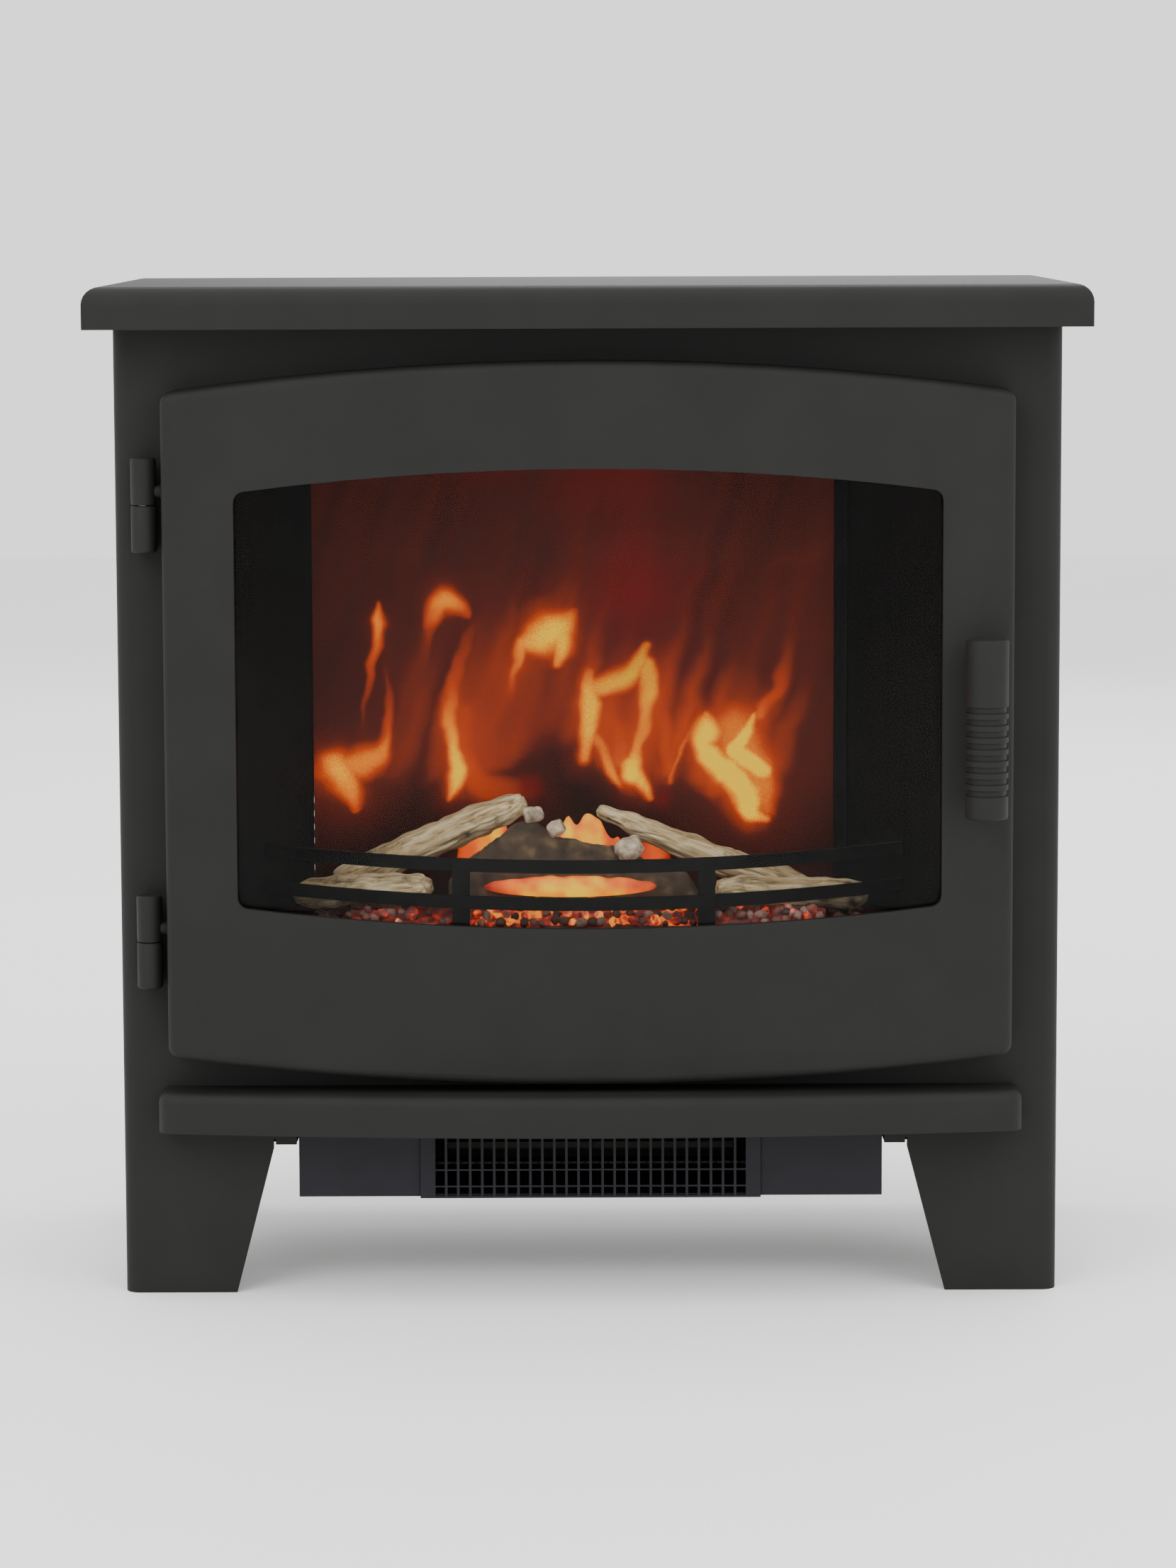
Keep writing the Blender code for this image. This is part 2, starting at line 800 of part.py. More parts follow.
def make_handle_bush():
    """A flanged bush through the door's front wall, with its flange behind the wall."""
    shoulder = door_wall + clearance
    end = shoulder + bush_flange_thickness
    rim = bush_radius + bush_flange
    profile = [(bush_bore, 0.0), (bush_radius, 0.0), (bush_radius, shoulder), (rim, shoulder)]
    profile += [(rim, end), (bush_bore, end)]
    shape = turned(profile, (handle_x, door_front, handle_pivot_height), "Y", closed=True)
    return add_piece("handle_bush", shape, "brass", smooth=True)


# ---- handle and latch ----

def grip_profile():
    """Half the outline of the grip, top to bottom, with square grooves below the plain part."""
    ease = handle_ease
    shoulder = handle_radius - ease * 0.3
    top = handle_top
    bottom = handle_top - handle_length
    profile = [(0.0, top), (handle_radius - ease, top), (shoulder, top - ease * 0.3)]
    profile.append((handle_radius, top - ease))
    for i in range(groove_count):
        start = top - handle_plain - i * groove_pitch
        end = start - groove_width
        bed = handle_radius - groove_depth
        profile += [(handle_radius, start), (bed, start), (bed, end), (handle_radius, end)]
    profile += [(handle_radius, bottom + ease), (shoulder, bottom + ease * 0.3)]
    profile += [(handle_radius - ease, bottom), (0.0, bottom)]
    return profile


def make_handle():
    grip_shape = turned(grip_profile(), (handle_x, handle_y, 0.0))
    grip = add_piece("handle_grip", grip_shape, "coated_steel", smooth=True)
    boss_end = door_front - boss_gap
    boss_centre = (handle_x, 0.0, handle_pivot_height)
    boss = add_tool("join_boss", rod(boss_radius, handle_y, boss_end, boss_centre, "Y"))
    join(grip, boss)
    cam_back = cam_y + cam_thickness
    nut_front = cam_back + clearance
    nut_back = nut_front + nut_thickness
    spindle = rod(spindle_radius, boss_end + clearance, nut_back + spindle_end, boss_centre, "Y")
    shaft = add_piece("handle_spindle", spindle, "steel", smooth=True)
    hole = spindle_radius + clearance
    hub = tube(hole, cam_hub, cam_y, cam_back, boss_centre, "Y")
    cam = add_piece("latch_cam", hub, "steel", smooth=True)
    tongue = block(
        (handle_x + hole + 2 * clearance, cam_y, handle_pivot_height - cam_half_width),
        (handle_x + cam_reach, cam_back, handle_pivot_height + cam_half_width),
    )
    tongue_tool = add_tool("join_tongue", tongue)
    join(cam, tongue_tool)
    nut_shape = rod(nut_radius, nut_front, nut_back, boss_centre, "Y", 6)
    nut = add_piece("spindle_nut", nut_shape, "steel")
    nut_tool = add_tool("cut_nut", rod(hole, nut_front - through, nut_back + through, boss_centre, "Y"))
    cut(nut, nut_tool)
    return [grip, boss, shaft, cam, tongue_tool, nut, nut_tool]


# ---- firebox ----

def liner_x(side, y):
    """The inner face of a side liner at depth y; the liners lean in towards the screen."""
    rear = (screen_right + trim_width) if side > 0 else -screen_left
    share = (y - inside_start) / (screen_y - clearance - inside_start)
    return side * (liner_front_half + (rear - liner_front_half) * share)


def make_liners():
    start = inside_start
    end = screen_y - clearance
    for side, name in ((-1, "left_liner"), (1, "right_liner")):
        near = liner_x(side, start)
        far = liner_x(side, end)
        skin = side * liner_sheet
        outline = [(near, start), (near + skin, start), (far + skin, end), (far, end)]
        liner = add_piece(name, prism(outline, "Z", floor_top, opening_top), "black_steel")
        if side > 0:
            reach = cam_reach + 0.0045
            room_back = cam_y + cam_thickness + nut_thickness + 4 * spindle_end
            room = block(
                (handle_x - reach, 0.0, handle_pivot_height - reach),
                (body_half, room_back, handle_pivot_height + reach),
            )
            cut(liner, add_tool("cut_liner_latch", room))


def make_firebox_plates():
    half = liner_front_half + liner_sheet
    start = inside_start
    ceiling = block(
        (-half, start, opening_top + clearance),
        (half, screen_y + screen_thickness, opening_top + clearance + floor_sheet),
    )
    add_piece("firebox_ceiling", ceiling, "black_steel")
    floor_back = back_panel_y - floor_rear_gap
    floor = block((-half, start, floor_height), (half, floor_back, floor_height + floor_sheet))
    add_piece("firebox_floor", floor, "black_steel")


def make_screen():
    screen_back = screen_y + screen_thickness
    screen = block((screen_left, screen_y, floor_top), (screen_right, screen_back, opening_top))
    add_piece("flame_screen", screen, "acrylic")
    left = screen_right - trim_edge
    back = screen_y - clearance
    strip = block(
        (left, back - trim_thickness, floor_top), (left + trim_width - 2 * trim_edge, back, opening_top)
    )
    add_piece("screen_edge_trim", strip, "black_plastic")


def fret_span():
    """The fret's middle and its half-length between the liners."""
    end_y = fret_y + fret_bow + fret_bar_thickness
    left = liner_x(-1, end_y) + clearance
    right = liner_x(1, end_y) - clearance
    return (left + right) / 2, (right - left) / 2


def fret_face(share):
    """Where the fret's front face is, from its middle (0) to an end (1 or -1)."""
    middle, half = fret_span()
    return middle + half * share, fret_y + fret_bow * share ** 2


def ember_front_y():
    """The ember bed starts just behind the fret's posts."""
    middle, half = fret_span()
    return fret_face(fret_post_half_spacing / half)[1] + fret_post_back + ember_gap


def make_fret():
    """Two flat bars bowed forward between the liners, on two posts."""
    half = fret_span()[1]
    count = 18

    def bar(height):
        shape = bmesh.new()
        rings = []
        for i in range(count + 1):
            share = 2 * i / count - 1
            x, y = fret_face(share)
            z = height + fret_dip * share ** 2
            ring = []
            for dy, dz in ((0, -1), (1, -1), (1, 1), (0, 1)):
                ring.append(shape.verts.new((x, y + dy * fret_bar_thickness, z + dz * fret_bar_height / 2)))
            rings.append(ring)
        for near, far in zip(rings, rings[1:]):
            for k in range(4):
                shape.faces.new((near[k], near[(k + 1) % 4], far[(k + 1) % 4], far[k]))
        shape.faces.new(rings[0])
        shape.faces.new(rings[-1])
        return shape

    fret = add_piece("fire_fret", bar(fret_upper), "black_steel")
    join(fret, add_tool("join_lower_bar", bar(fret_lower)))
    for side in (-1, 1):
        x, y = fret_face(side * fret_post_half_spacing / half)
        post = block(
            (x - fret_post_width / 2, y + fret_post_front, floor_top),
            (x + fret_post_width / 2, y + fret_post_back, fret_upper + fret_bar_height / 2 - 0.0005),
        )
        join(fret, add_tool("join_post_" + ("left" if side < 0 else "right"), post))


def lump(form, grow=0.0, rough=0.12, flat=0.9, segments=10, rings=7, across=(0.1, 0, 1)):
    """A rough branch or stone between two points, thick at its start and thin at its end."""
    start, end, thick, thin, seed = form
    shape = bmesh.new()
    bmesh.ops.create_cone(
        shape, cap_ends=True, segments=segments, radius1=1.0, radius2=1.0, depth=1.0
    )
    uprights = [edge for edge in shape.edges if abs(edge.verts[0].co.z - edge.verts[1].co.z) > 0.5]
    bmesh.ops.subdivide_edges(shape, edges=uprights, cuts=rings, use_grid_fill=False)
    start = Vector(start)
    along = Vector(end) - start
    length = along.length
    side = Vector(across).cross(along).normalized()
    up = along.cross(side).normalized()
    for corner in shape.verts:
        share = corner.co.z + 0.5
        angle = math.atan2(corner.co.y, corner.co.x)
        spot = Vector((math.cos(angle), math.sin(angle), 3 * share)) * 1.3 + Vector((seed, 2 * seed, 0))
        swell = 1 + rough * noise.noise(spot) * 2
        tuck = 1 - 0.35 * abs(2 * share - 1) ** 6
        radius = (thick + (thin - thick) * share) * swell * tuck + grow
        sway = 0.06 * length * math.sin(math.pi * share) * noise.noise(Vector((seed, 0.3, 0.7)))
        place = start + along * share + up * sway
        stretch = 1 + 2 * grow / length
        place = start + along * 0.5 + (place - start - along * 0.5) * stretch
        corner.co = place + side * math.cos(angle) * radius + up * math.sin(angle) * radius * flat
    return shape


def across_fire(share, y, rise):
    """A place in the firebox: a share of the way from its middle to the liner, at depth y."""
    side = math.copysign(1, share)
    return (abs(share) * liner_x(side, y), y, floor_height + rise)


def behind_fret(share, distance, rise):
    x, y = fret_face(share)
    return (x, y + distance, floor_height + rise)


# Logs between two points of share across, distance and height above the firebox floor. The back logs'
# distances are in front of the screen, and the front logs' are behind the fret. Then come both radii
# and the seed of the log's shape.
back_logs = {
    "left_log": ((-0.8426, 0.024, 0.0495), (-0.2064, 0.034, 0.1025), 0.0130, 0.0120, 3.1),
    "right_log": ((0.7556, 0.026, 0.0465), (0.0323, 0.036, 0.0975), 0.0125, 0.0075, 7.7),
}
front_logs = {
    "left_front_log": ((-0.9024, 0.0221, 0.0445), (-0.4776, 0.0207, 0.0545), 0.0115, 0.0110, 5.2),
    "right_front_log": ((0.8928, 0.0212, 0.0445), (0.4124, 0.0230, 0.0535), 0.0115, 0.0110, 9.4),
}

# The charred mound stands on the embers; its distances are from their front edge
mound = ((-0.1438, 0.028, 0.0335), (-0.1473, 0.031, 0.0955), 0.050, 0.007, 1.9)
mound_shape = {"rough": 0.08, "flat": 0.32, "segments": 14, "across": (0, 1, 0)}

# Stones let into the mound, with their points given from its foot
stones = {
    "left_stone": ((-0.0090, 0.0, 0.0640), (0.0020, -0.0020, 0.0665), 0.0062, 0.0052, 2.2),
    "middle_stone": ((0.0060, -0.0130, 0.0555), (0.0150, -0.0140, 0.0610), 0.0062, 0.0056, 4.4),
    "right_stone": ((0.0480, -0.0070, 0.0420), (0.0630, -0.0090, 0.0490), 0.0085, 0.0080, 6.6),
}


def make_fuel_bed():
    """The translucent ember bed, with the logs and stones let into it."""
    shape = bmesh.new()
    columns, rows = 22, 8
    low = floor_top
    front = ember_front_y()
    bmesh.ops.create_grid(shape, x_segments=columns, y_segments=rows, size=0.5)
    grown = bmesh.ops.extrude_face_region(shape, geom=shape.faces[:])
    upper = [item for item in grown["geom"] if isinstance(item, bmesh.types.BMVert)]
    raised = set(upper)
    for corner in shape.verts:
        y = front + (ember_back - front) * (corner.co.y + 0.5)
        left = liner_x(-1, y) + ember_side_gap
        right = liner_x(1, y) - ember_side_gap
        x = left + (right - left) * (corner.co.x + 0.5)
        z = low
        if corner in raised:
            spot = Vector((x * ember_bump_scale, y * ember_bump_scale, 2.0))
            z = ember_top + ember_bumps * noise.noise(spot)
        corner.co = (x, y, z)
    bed = add_piece("ember_bed", shape, "ember_resin", smooth=True)
    hollow_top = ember_top - ember_bumps - ember_wall
    under = block(
        (screen_left + ember_hollow_margin, front + ember_wall, low - through),
        (screen_right - ember_hollow_margin, ember_back - ember_wall, hollow_top),
    )
    cut(bed, add_tool("cut_under_embers", under))

    placed_logs = {}
    for name, (*ends, thick, thin, seed) in back_logs.items():
        places = [across_fire(share, screen_y - distance, rise) for share, distance, rise in ends]
        placed_logs[name] = (*places, thick, thin, seed)
    for name, (*ends, thick, thin, seed) in front_logs.items():
        placed_logs[name] = (*[behind_fret(*end) for end in ends], thick, thin, seed)
    for name, placed in placed_logs.items():
        add_piece(name, lump(placed), "pale_wood", smooth=True)
        cut(bed, add_tool("cut_bed_" + name, lump(placed, grow=clearance)))

    *ends, thick, thin, seed = mound
    places = [across_fire(share, front + distance, rise) for share, distance, rise in ends]
    hill_form = (*places, thick, thin, seed)
    hill = add_piece("charred_log", lump(hill_form, **mound_shape), "charred_wood", smooth=True)
    cut(bed, add_tool("cut_bed_charred_log", lump(hill_form, grow=clearance, **mound_shape)))
    foot = Vector(places[0])
    for name, (start, end, thick, thin, seed) in stones.items():
        placed = (foot + Vector(start), foot + Vector(end), thick, thin, seed)
        add_piece(name, lump(placed, rings=4), "stone", smooth=True)
        cut(hill, add_tool("cut_hill_" + name, lump(placed, grow=clearance, rings=4)))


# ---- flame effect ----

def make_mask(left, right):
    """A sheet with flame-shaped holes that throws their outlines on the screen."""
    low = floor_top
    sheet_front = (left, mask_y, low)
    sheet_back = (right, mask_y + mask_sheet, low + mask_height)
    mask = add_piece("flame_mask", block(sheet_front, sheet_back), "aluminium")
    pitch = (right - left) / mask_flames
    for i in range(mask_flames):
        x = left + (i + 0.5) * pitch
        lean = 0.010 * (-1) ** i
        tip = mask_height * (0.77 if i % 2 else 0.60)
        width = pitch * 0.30
        flame = [
            (x - width * 0.5, low + 0.012), (x + width * 0.5, low + 0.012), (x + width, low + 0.035),
            (x + width * 0.4, low + tip * 0.65), (x + lean, low + tip), (x - width * 0.3, low + tip * 0.6),
            (x - width, low + 0.038),
        ]
        cut(mask, add_tool("cut_flame_%d" % i, prism(flame, "Y", mask_y - through, mask_y + through)))


def make_flame_effect():
    left = screen_left + mask_end_margin
    right = screen_right - mask_end_margin
    make_mask(left, right)

    axis = (0.0, spinner_y, spinner_height)
    bracket_left = screen_left + bracket_end_margin
    bracket_right = screen_right - bracket_end_margin
    first = bracket_left + bracket_thickness + spinner_end_gap
    last = bracket_right - spinner_end_gap
    shaft_start = bracket_left - 0.002
    shaft_end = bracket_right + bracket_thickness + motor_wall / 2
    shaft = rod(spinner_shaft, shaft_start, shaft_end, axis, "X", 16)
    spinner = add_piece("flame_spinner", shaft, "aluminium")
    spinner_pieces = [spinner]
    step = (last - first) / spinner_blades
    half_blade = spinner_blade / 2
    for i in range(spinner_blades):
        x = first + i * step
        blade_end = x + step * spinner_blade_share
        paddle = block((x, -half_blade, -spinner_radius), (blade_end, half_blade, spinner_radius))
        turn = Matrix.Translation(axis) @ Matrix.Rotation(spinner_blade_step * i, 4, "X")
        bmesh.ops.transform(paddle, matrix=turn, verts=paddle.verts)
        tool = add_tool("join_paddle_%d" % i, paddle)
        join(spinner, tool)
        spinner_pieces.append(tool)

    hole_radius = spinner_shaft + shaft_play
    for name, x in (("left_spinner_bracket", bracket_left), ("right_spinner_bracket", bracket_right)):
        plate = block(
            (x, spinner_y - bracket_half_depth, floor_top),
            (x + bracket_thickness, spinner_y + bracket_half_depth, spinner_height + bracket_half_depth),
        )
        bracket = add_piece(name, plate, "steel")
        hole = rod(hole_radius, x - through, x + through, axis, "X", 16)
        cut(bracket, add_tool("cut_" + name, hole))
    motor_start = bracket_right + bracket_thickness + clearance
    motor = motor_shape(hole_radius, motor_radius, motor_start, motor_length, motor_wall, axis)
    add_piece("spinner_motor", motor, "steel", smooth=True)
    led_strip("flame_led_strip", left + 0.010, right - 0.010, mask_y + 0.004)
    led_strip("ember_led_strip", left + 0.020, right - 0.020, ember_front_y() * 0.61 + ember_back * 0.39)
    return spinner_pieces


def motor_shape(pocket, radius, start, length, wall, axis):
    """A round motor along X with a pocket in its face that takes the end of the shaft."""
    profile = [
        (pocket, start), (radius, start), (radius, start + length), (0.0, start + length),
        (0.0, start + wall), (pocket, start + wall), (pocket, start),
    ]
    return turned(profile, axis, "X")


def led_strip(name, left, right, front):
    """A narrow board on the firebox floor with a row of square lamps on it."""
    top = floor_top + strip_thickness
    strip = add_piece(name, block((left, front, floor_top), (right, front + strip_width, top)), "circuit")
    lamps = bmesh.new()
    middle = front + strip_width / 2
    half = lamp_size / 2
    for i in range(lamp_count):
        x = left + (right - left) * (i + 0.5) / lamp_count
        low = (x - half, middle - half, top - clearance)
        block(low, (x + half, middle + half, top + lamp_height), lamps)
    join(strip, add_tool("join_lamps_" + name, lamps))


# ---- heater ----

def make_heater():
    make_heater_housing()
    make_grille()
    rotor_pieces = make_fan()
    make_heating_element()
    top = heater_top - heater_sheet - clearance
    cutout_place = (-(heater_half_width - cutout_end_margin), heater_front + cutout_setback, 0.0)
    cutout = rod(cutout_radius, top - cutout_height, top, cutout_place)
    add_piece("thermal_cutout", cutout, "black_plastic", smooth=True)
    return rotor_pieces


def make_heater_housing():
    half = heater_half_width
    wall = heater_sheet
    shape = block((-half, heater_front, heater_bottom), (half, heater_back, heater_top))
    housing = add_piece("heater_housing", shape, "heater_paint")
    inside = block(
        (-half + wall, heater_front + wall, heater_bottom + wall),
        (half - wall, heater_back - wall, heater_top - wall),
    )
    mouth = block(
        (-grille_half_width, heater_front - through, heater_bottom + wall),
        (grille_half_width, heater_front + through, grille_top),
    )
    intake = bmesh.new()
    intake_count = int(2 * fan_half_length / intake_pitch) + 1
    for i in range(intake_count):
        x = (i - (intake_count - 1) / 2) * intake_pitch
        low = (x - intake_half_width, fan_y + fan_radius / 2, heater_top - through)
        high = (x + intake_half_width, fan_y + fan_radius * 2, heater_top + through)
        block(low, high, intake)
    cut(
        housing, add_tool("cut_heater_inside", inside), add_tool("cut_heater_mouth", mouth),
        add_tool("cut_heater_intake", intake),
    )


def make_fan():
    """A tangential rotor on a shaft, between a bearing plate and its motor."""
    axis = (0.0, fan_y, fan_height)
    floor = heater_bottom + heater_sheet + clearance
    bearing_face = -fan_half_length - fan_end_gap
    shaft = rod(fan_shaft, bearing_face - 0.002, fan_half_length + 2 * fan_end_gap, axis, "X", 16)
    rotor = add_piece("fan_rotor", shaft, "aluminium")
    rotor_pieces = [rotor]
    for i, x in enumerate((-fan_half_length, 0.0, fan_half_length - fan_disc)):
        tool = add_tool("join_disc_%d" % i, rod(fan_radius, x, x + fan_disc, axis, "X", fan_blades))
        join(rotor, tool)
        rotor_pieces.append(tool)
    blades = bmesh.new()
    reach = fan_half_length - fan_disc / 2
    tip = fan_radius - 0.0004
    root = tip - fan_blade_width
    hub = fan_radius - 0.003
    for i in range(fan_blades):
        start = len(blades.verts)
        block((-reach, -0.0004, root), (reach, 0.0004, tip), blades)
        blades.verts.ensure_lookup_table()
        lean = Matrix.Translation((0, 0, hub)) @ Matrix.Rotation(fan_blade_lean, 4, "X")
        lean = lean @ Matrix.Translation((0, 0, -hub))
        turn = Matrix.Translation(axis) @ Matrix.Rotation(math.tau * (i + 0.5) / fan_blades, 4, "X") @ lean
        bmesh.ops.transform(blades, matrix=turn, verts=blades.verts[start:])
    blade_tool = add_tool("join_fan_blades", blades)
    join(rotor, blade_tool)
    rotor_pieces.append(blade_tool)

    hole_radius = fan_shaft + shaft_play
    bearing_plate = block(
        (bearing_face - bracket_thickness, fan_y - bearing_half, floor),
        (bearing_face, fan_y + bearing_half, fan_height + bearing_half),
    )
    bearing = add_piece("fan_bearing_plate", bearing_plate, "steel")
    hole = rod(hole_radius, bearing_face - through, bearing_face + through, axis, "X", 16)
    cut(bearing, add_tool("cut_fan_bearing", hole))

    start = fan_half_length + fan_end_gap
    shape = motor_shape(hole_radius, fan_motor_radius, start, fan_motor_length, fan_motor_wall, axis)
    motor = add_piece("fan_motor", shape, "steel", smooth=True)
    foot = block(
        (start + 0.010, fan_y - bearing_half, floor),
        (start + 0.014, fan_y + bearing_half, fan_height - fan_motor_radius * 0.7),
    )
    join(motor, add_tool("join_motor_foot", foot))
    return rotor_pieces


def make_heating_element():
    """A straight rod behind the grille, on two feet."""
    y = heater_front + element_setback
    height = heater_bottom + element_rise
    half = grille_half_width + element_end
    element = rod(element_radius, -half, half, (0.0, y, height), "X", 12)
    heating = add_piece("heating_element", element, "steel", smooth=True)
    floor = heater_bottom + heater_sheet + clearance
    post = element_post / 2
    for side, name in ((-1, "left"), (1, "right")):
        x = side * (half - post)
        foot = block((x - post, y - element_post, floor), (x + post, y + element_post, height + 0.005))
        join(heating, add_tool("join_element_foot_" + name, foot))


def make_grille():
    """Upright bars crossed by two wires, as one sheet pierced by a grid of holes."""
    front = heater_front - clearance - grille_thickness
    low = heater_bottom - grille_drop
    high = grille_top
    bar_count = int(2 * grille_half_width / grille_pitch) - 1
    span = (bar_count - 1) * grille_pitch
    columns = [-grille_half_width]
    for i in range(bar_count):
        x = -span / 2 + i * grille_pitch
        columns += [x - grille_bar / 2, x + grille_bar / 2]
    columns.append(grille_half_width)
    rows = [low, low + grille_bottom_bar]
    for rise in grille_wire_rises:
        height = heater_bottom + rise
        rows += [height - grille_wire / 2, height + grille_wire / 2]
    rows += [high - grille_top_bar, high]
    shape = bmesh.new()
    grid = [[shape.verts.new((x, front, z)) for x in columns] for z in rows]
    last = len(columns) - 2
    for j in range(len(rows) - 1):
        for i in range(len(columns) - 1):
            is_bar = i % 2 == 1 or i in (0, last)
            is_wire = j % 2 == 0
            if is_bar or is_wire:
                shape.faces.new((grid[j][i], grid[j][i + 1], grid[j + 1][i + 1], grid[j + 1][i]))
    grown = bmesh.ops.extrude_face_region(shape, geom=shape.faces[:])
    corners = [item for item in grown["geom"] if isinstance(item, bmesh.types.BMVert)]
    bmesh.ops.translate(shape, vec=(0, grille_thickness, 0), verts=corners)
    flat = [edge for edge in shape.edges if len(edge.link_faces) == 2 and edge.calc_face_angle() < 0.001]
    bmesh.ops.dissolve_limit(shape, angle_limit=0.001, verts=shape.verts[:], edges=flat)
    add_piece("heater_grille", shape, "heater_paint")


# ---- controls ----

def make_rockers(panel, height):
    """Rocker switches that stand tilted at rest, each on its own pivot in the panel."""
    rockers = {}
    half = rocker_half_length
    tall = rocker_half_height
    front = -rocker_depth * 0.35
    shoulder = rocker_depth * 0.30
    keel = rocker_depth * 0.65
    rise = half * math.tan(rocker_tilt)
    outline = [
        (-half, front - rise), (0.0, front), (half, front - rise),
        (half, shoulder), (0.0, keel), (-half, shoulder),
    ]
    for name, x in rocker_centres.items():
        hole = block(
            (x - half - rocker_play, panel_y - through, height - tall - rocker_play),
            (x + half + rocker_play, panel_y + through, height + tall + rocker_play),
        )
        cut(panel, add_tool("cut_" + name, hole))
        cap = prism(outline, "Z", height - tall, height + tall)
        pivot = Vector((x, panel_y + panel_sheet / 2, 0.0))
        place = Matrix.Translation(pivot) @ Matrix.Rotation(rocker_tilt, 4, "Z")
        bmesh.ops.transform(cap, matrix=place, verts=cap.verts)
        rockers[name] = (add_piece(name, cap, "black_plastic"), (pivot.x, pivot.y, height))
    return rockers


def make_board():
    """A circuit board on four feet, with a transformer, two relays, a capacitor and a connector."""
    front = heater_back + board_gap
    right = board_left + board_width
    back = front + board_depth
    low = base_top + board_rise
    sheet_shape = block((board_left, front, low), (right, back, low + board_sheet))
    board = add_piece("control_board", sheet_shape, "circuit")
    parts = bmesh.new()
    top = low + board_sheet - 2 * clearance
    for x, y, length, width, height in (
        (0.015, 0.010, 0.028, 0.022, 0.018), (0.050, 0.010, 0.016, 0.016, 0.014),
        (0.072, 0.010, 0.016, 0.016, 0.014), (0.015, 0.042, 0.020, 0.012, 0.010),
        (0.050, 0.040, 0.040, 0.008, 0.008),
    ):
        corner = Vector((board_left + x, front + y, top))
        block(corner, corner + Vector((length, width, height)), parts)
    foot = 0.006
    for x in (board_left + foot / 2, right - foot * 1.5):
        for y in (front + foot / 2, back - foot * 1.5):
            block((x, y, base_top + clearance), (x + foot, y + foot, top), parts)
    join(board, add_tool("join_board_parts", parts))


def make_controls():
    low = (-opening_half_width + clearance, panel_y, opening_bottom + clearance)
    high = (opening_half_width - clearance, panel_y + panel_sheet, floor_height - clearance)
    panel = add_piece("control_panel", block(low, high), "black_plastic")
    rockers = make_rockers(panel, (low[2] + high[2]) / 2)
    make_board()

    terminal_right = gland_x + 0.005
    terminal_front = heater_back + 0.067
    terminal = block(
        (terminal_right - 0.040, terminal_front, base_top + clearance),
        (terminal_right, terminal_front + 0.020, base_top + 0.018),
    )
    add_piece("terminal_block", terminal, "black_plastic")
    seat = back_sheet + clearance
    end = back_sheet + gland_flange
    rim = gland_radius + gland_flange
    gland = [
        (gland_bore, -gland_depth), (gland_radius, -gland_depth), (gland_radius, seat), (rim, seat),
        (rim - 0.0010, end), (gland_bore, end),
    ]
    add_piece("cable_gland", turned(gland, gland_place, "Y", closed=True), "rubber", smooth=True)
    return rockers


def main():
    clear_scene()
    make_top_plate()
    make_fascia()
    make_side_panel("left_side_panel", -1)
    make_side_panel("right_side_panel", 1)
    make_back_panel()
    make_base_plate()
    make_hearth_shelf()
    door_pieces = make_hinges() + make_door() + [make_handle_bush()]
    handle_pieces = make_handle()
    make_liners()
    make_firebox_plates()
    make_screen()
    make_fret()
    make_fuel_bed()
    spinner_pieces = make_flame_effect()
    rotor_pieces = make_heater()
    rockers = make_controls()

    door_pivot = hang_on("door_hinge_axis", (hinge_x, hinge_y, 0.0), door_pieces)
    handle_pivot = hang_on("handle_axis", (handle_x, 0.0, handle_pivot_height), handle_pieces)
    handle_pivot.parent = door_pivot
    handle_pivot.location = Vector(handle_pivot.location) - Vector(door_pivot.location)
    hang_on("spinner_axis", (0.0, spinner_y, spinner_height), spinner_pieces)
    hang_on("fan_axis", (0.0, fan_y, fan_height), rotor_pieces)
    for name, (piece, pivot) in rockers.items():
        hang_on(name + "_axis", pivot, [piece])

    for thing in bpy.context.scene.objects:
        if thing.parent is None:
            thing.location.y += slide_y


main()
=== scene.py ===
import json
import math
import random

import bmesh
import bpy
import numpy as np
from mathutils import Matrix, Vector, noise


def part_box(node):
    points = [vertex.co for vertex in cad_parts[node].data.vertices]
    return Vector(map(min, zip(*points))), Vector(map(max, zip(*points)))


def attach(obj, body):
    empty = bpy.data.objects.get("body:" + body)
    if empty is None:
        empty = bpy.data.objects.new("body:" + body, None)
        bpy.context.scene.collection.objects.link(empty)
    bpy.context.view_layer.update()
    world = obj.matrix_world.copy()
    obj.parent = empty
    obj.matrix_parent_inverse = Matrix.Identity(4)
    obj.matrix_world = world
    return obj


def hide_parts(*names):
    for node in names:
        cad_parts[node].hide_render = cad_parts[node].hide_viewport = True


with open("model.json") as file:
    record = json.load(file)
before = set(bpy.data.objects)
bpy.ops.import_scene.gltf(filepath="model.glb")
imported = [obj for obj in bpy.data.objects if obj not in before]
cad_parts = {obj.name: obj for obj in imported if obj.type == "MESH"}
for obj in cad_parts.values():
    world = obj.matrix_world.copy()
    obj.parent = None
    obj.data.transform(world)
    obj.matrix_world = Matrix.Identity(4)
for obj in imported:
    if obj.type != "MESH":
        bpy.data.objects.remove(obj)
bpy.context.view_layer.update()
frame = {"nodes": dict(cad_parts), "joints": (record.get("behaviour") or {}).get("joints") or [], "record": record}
mm = 0.001


def linearColour(code):
    # a hex sRGB colour as the linear values that shaders take
    channels = [int(code[i:i + 2], 16) / 255 for i in (1, 3, 5)]
    return [c / 12.92 if c <= 0.04045 else ((c + 0.055) / 1.055) ** 2.4 for c in channels] + [1.0]


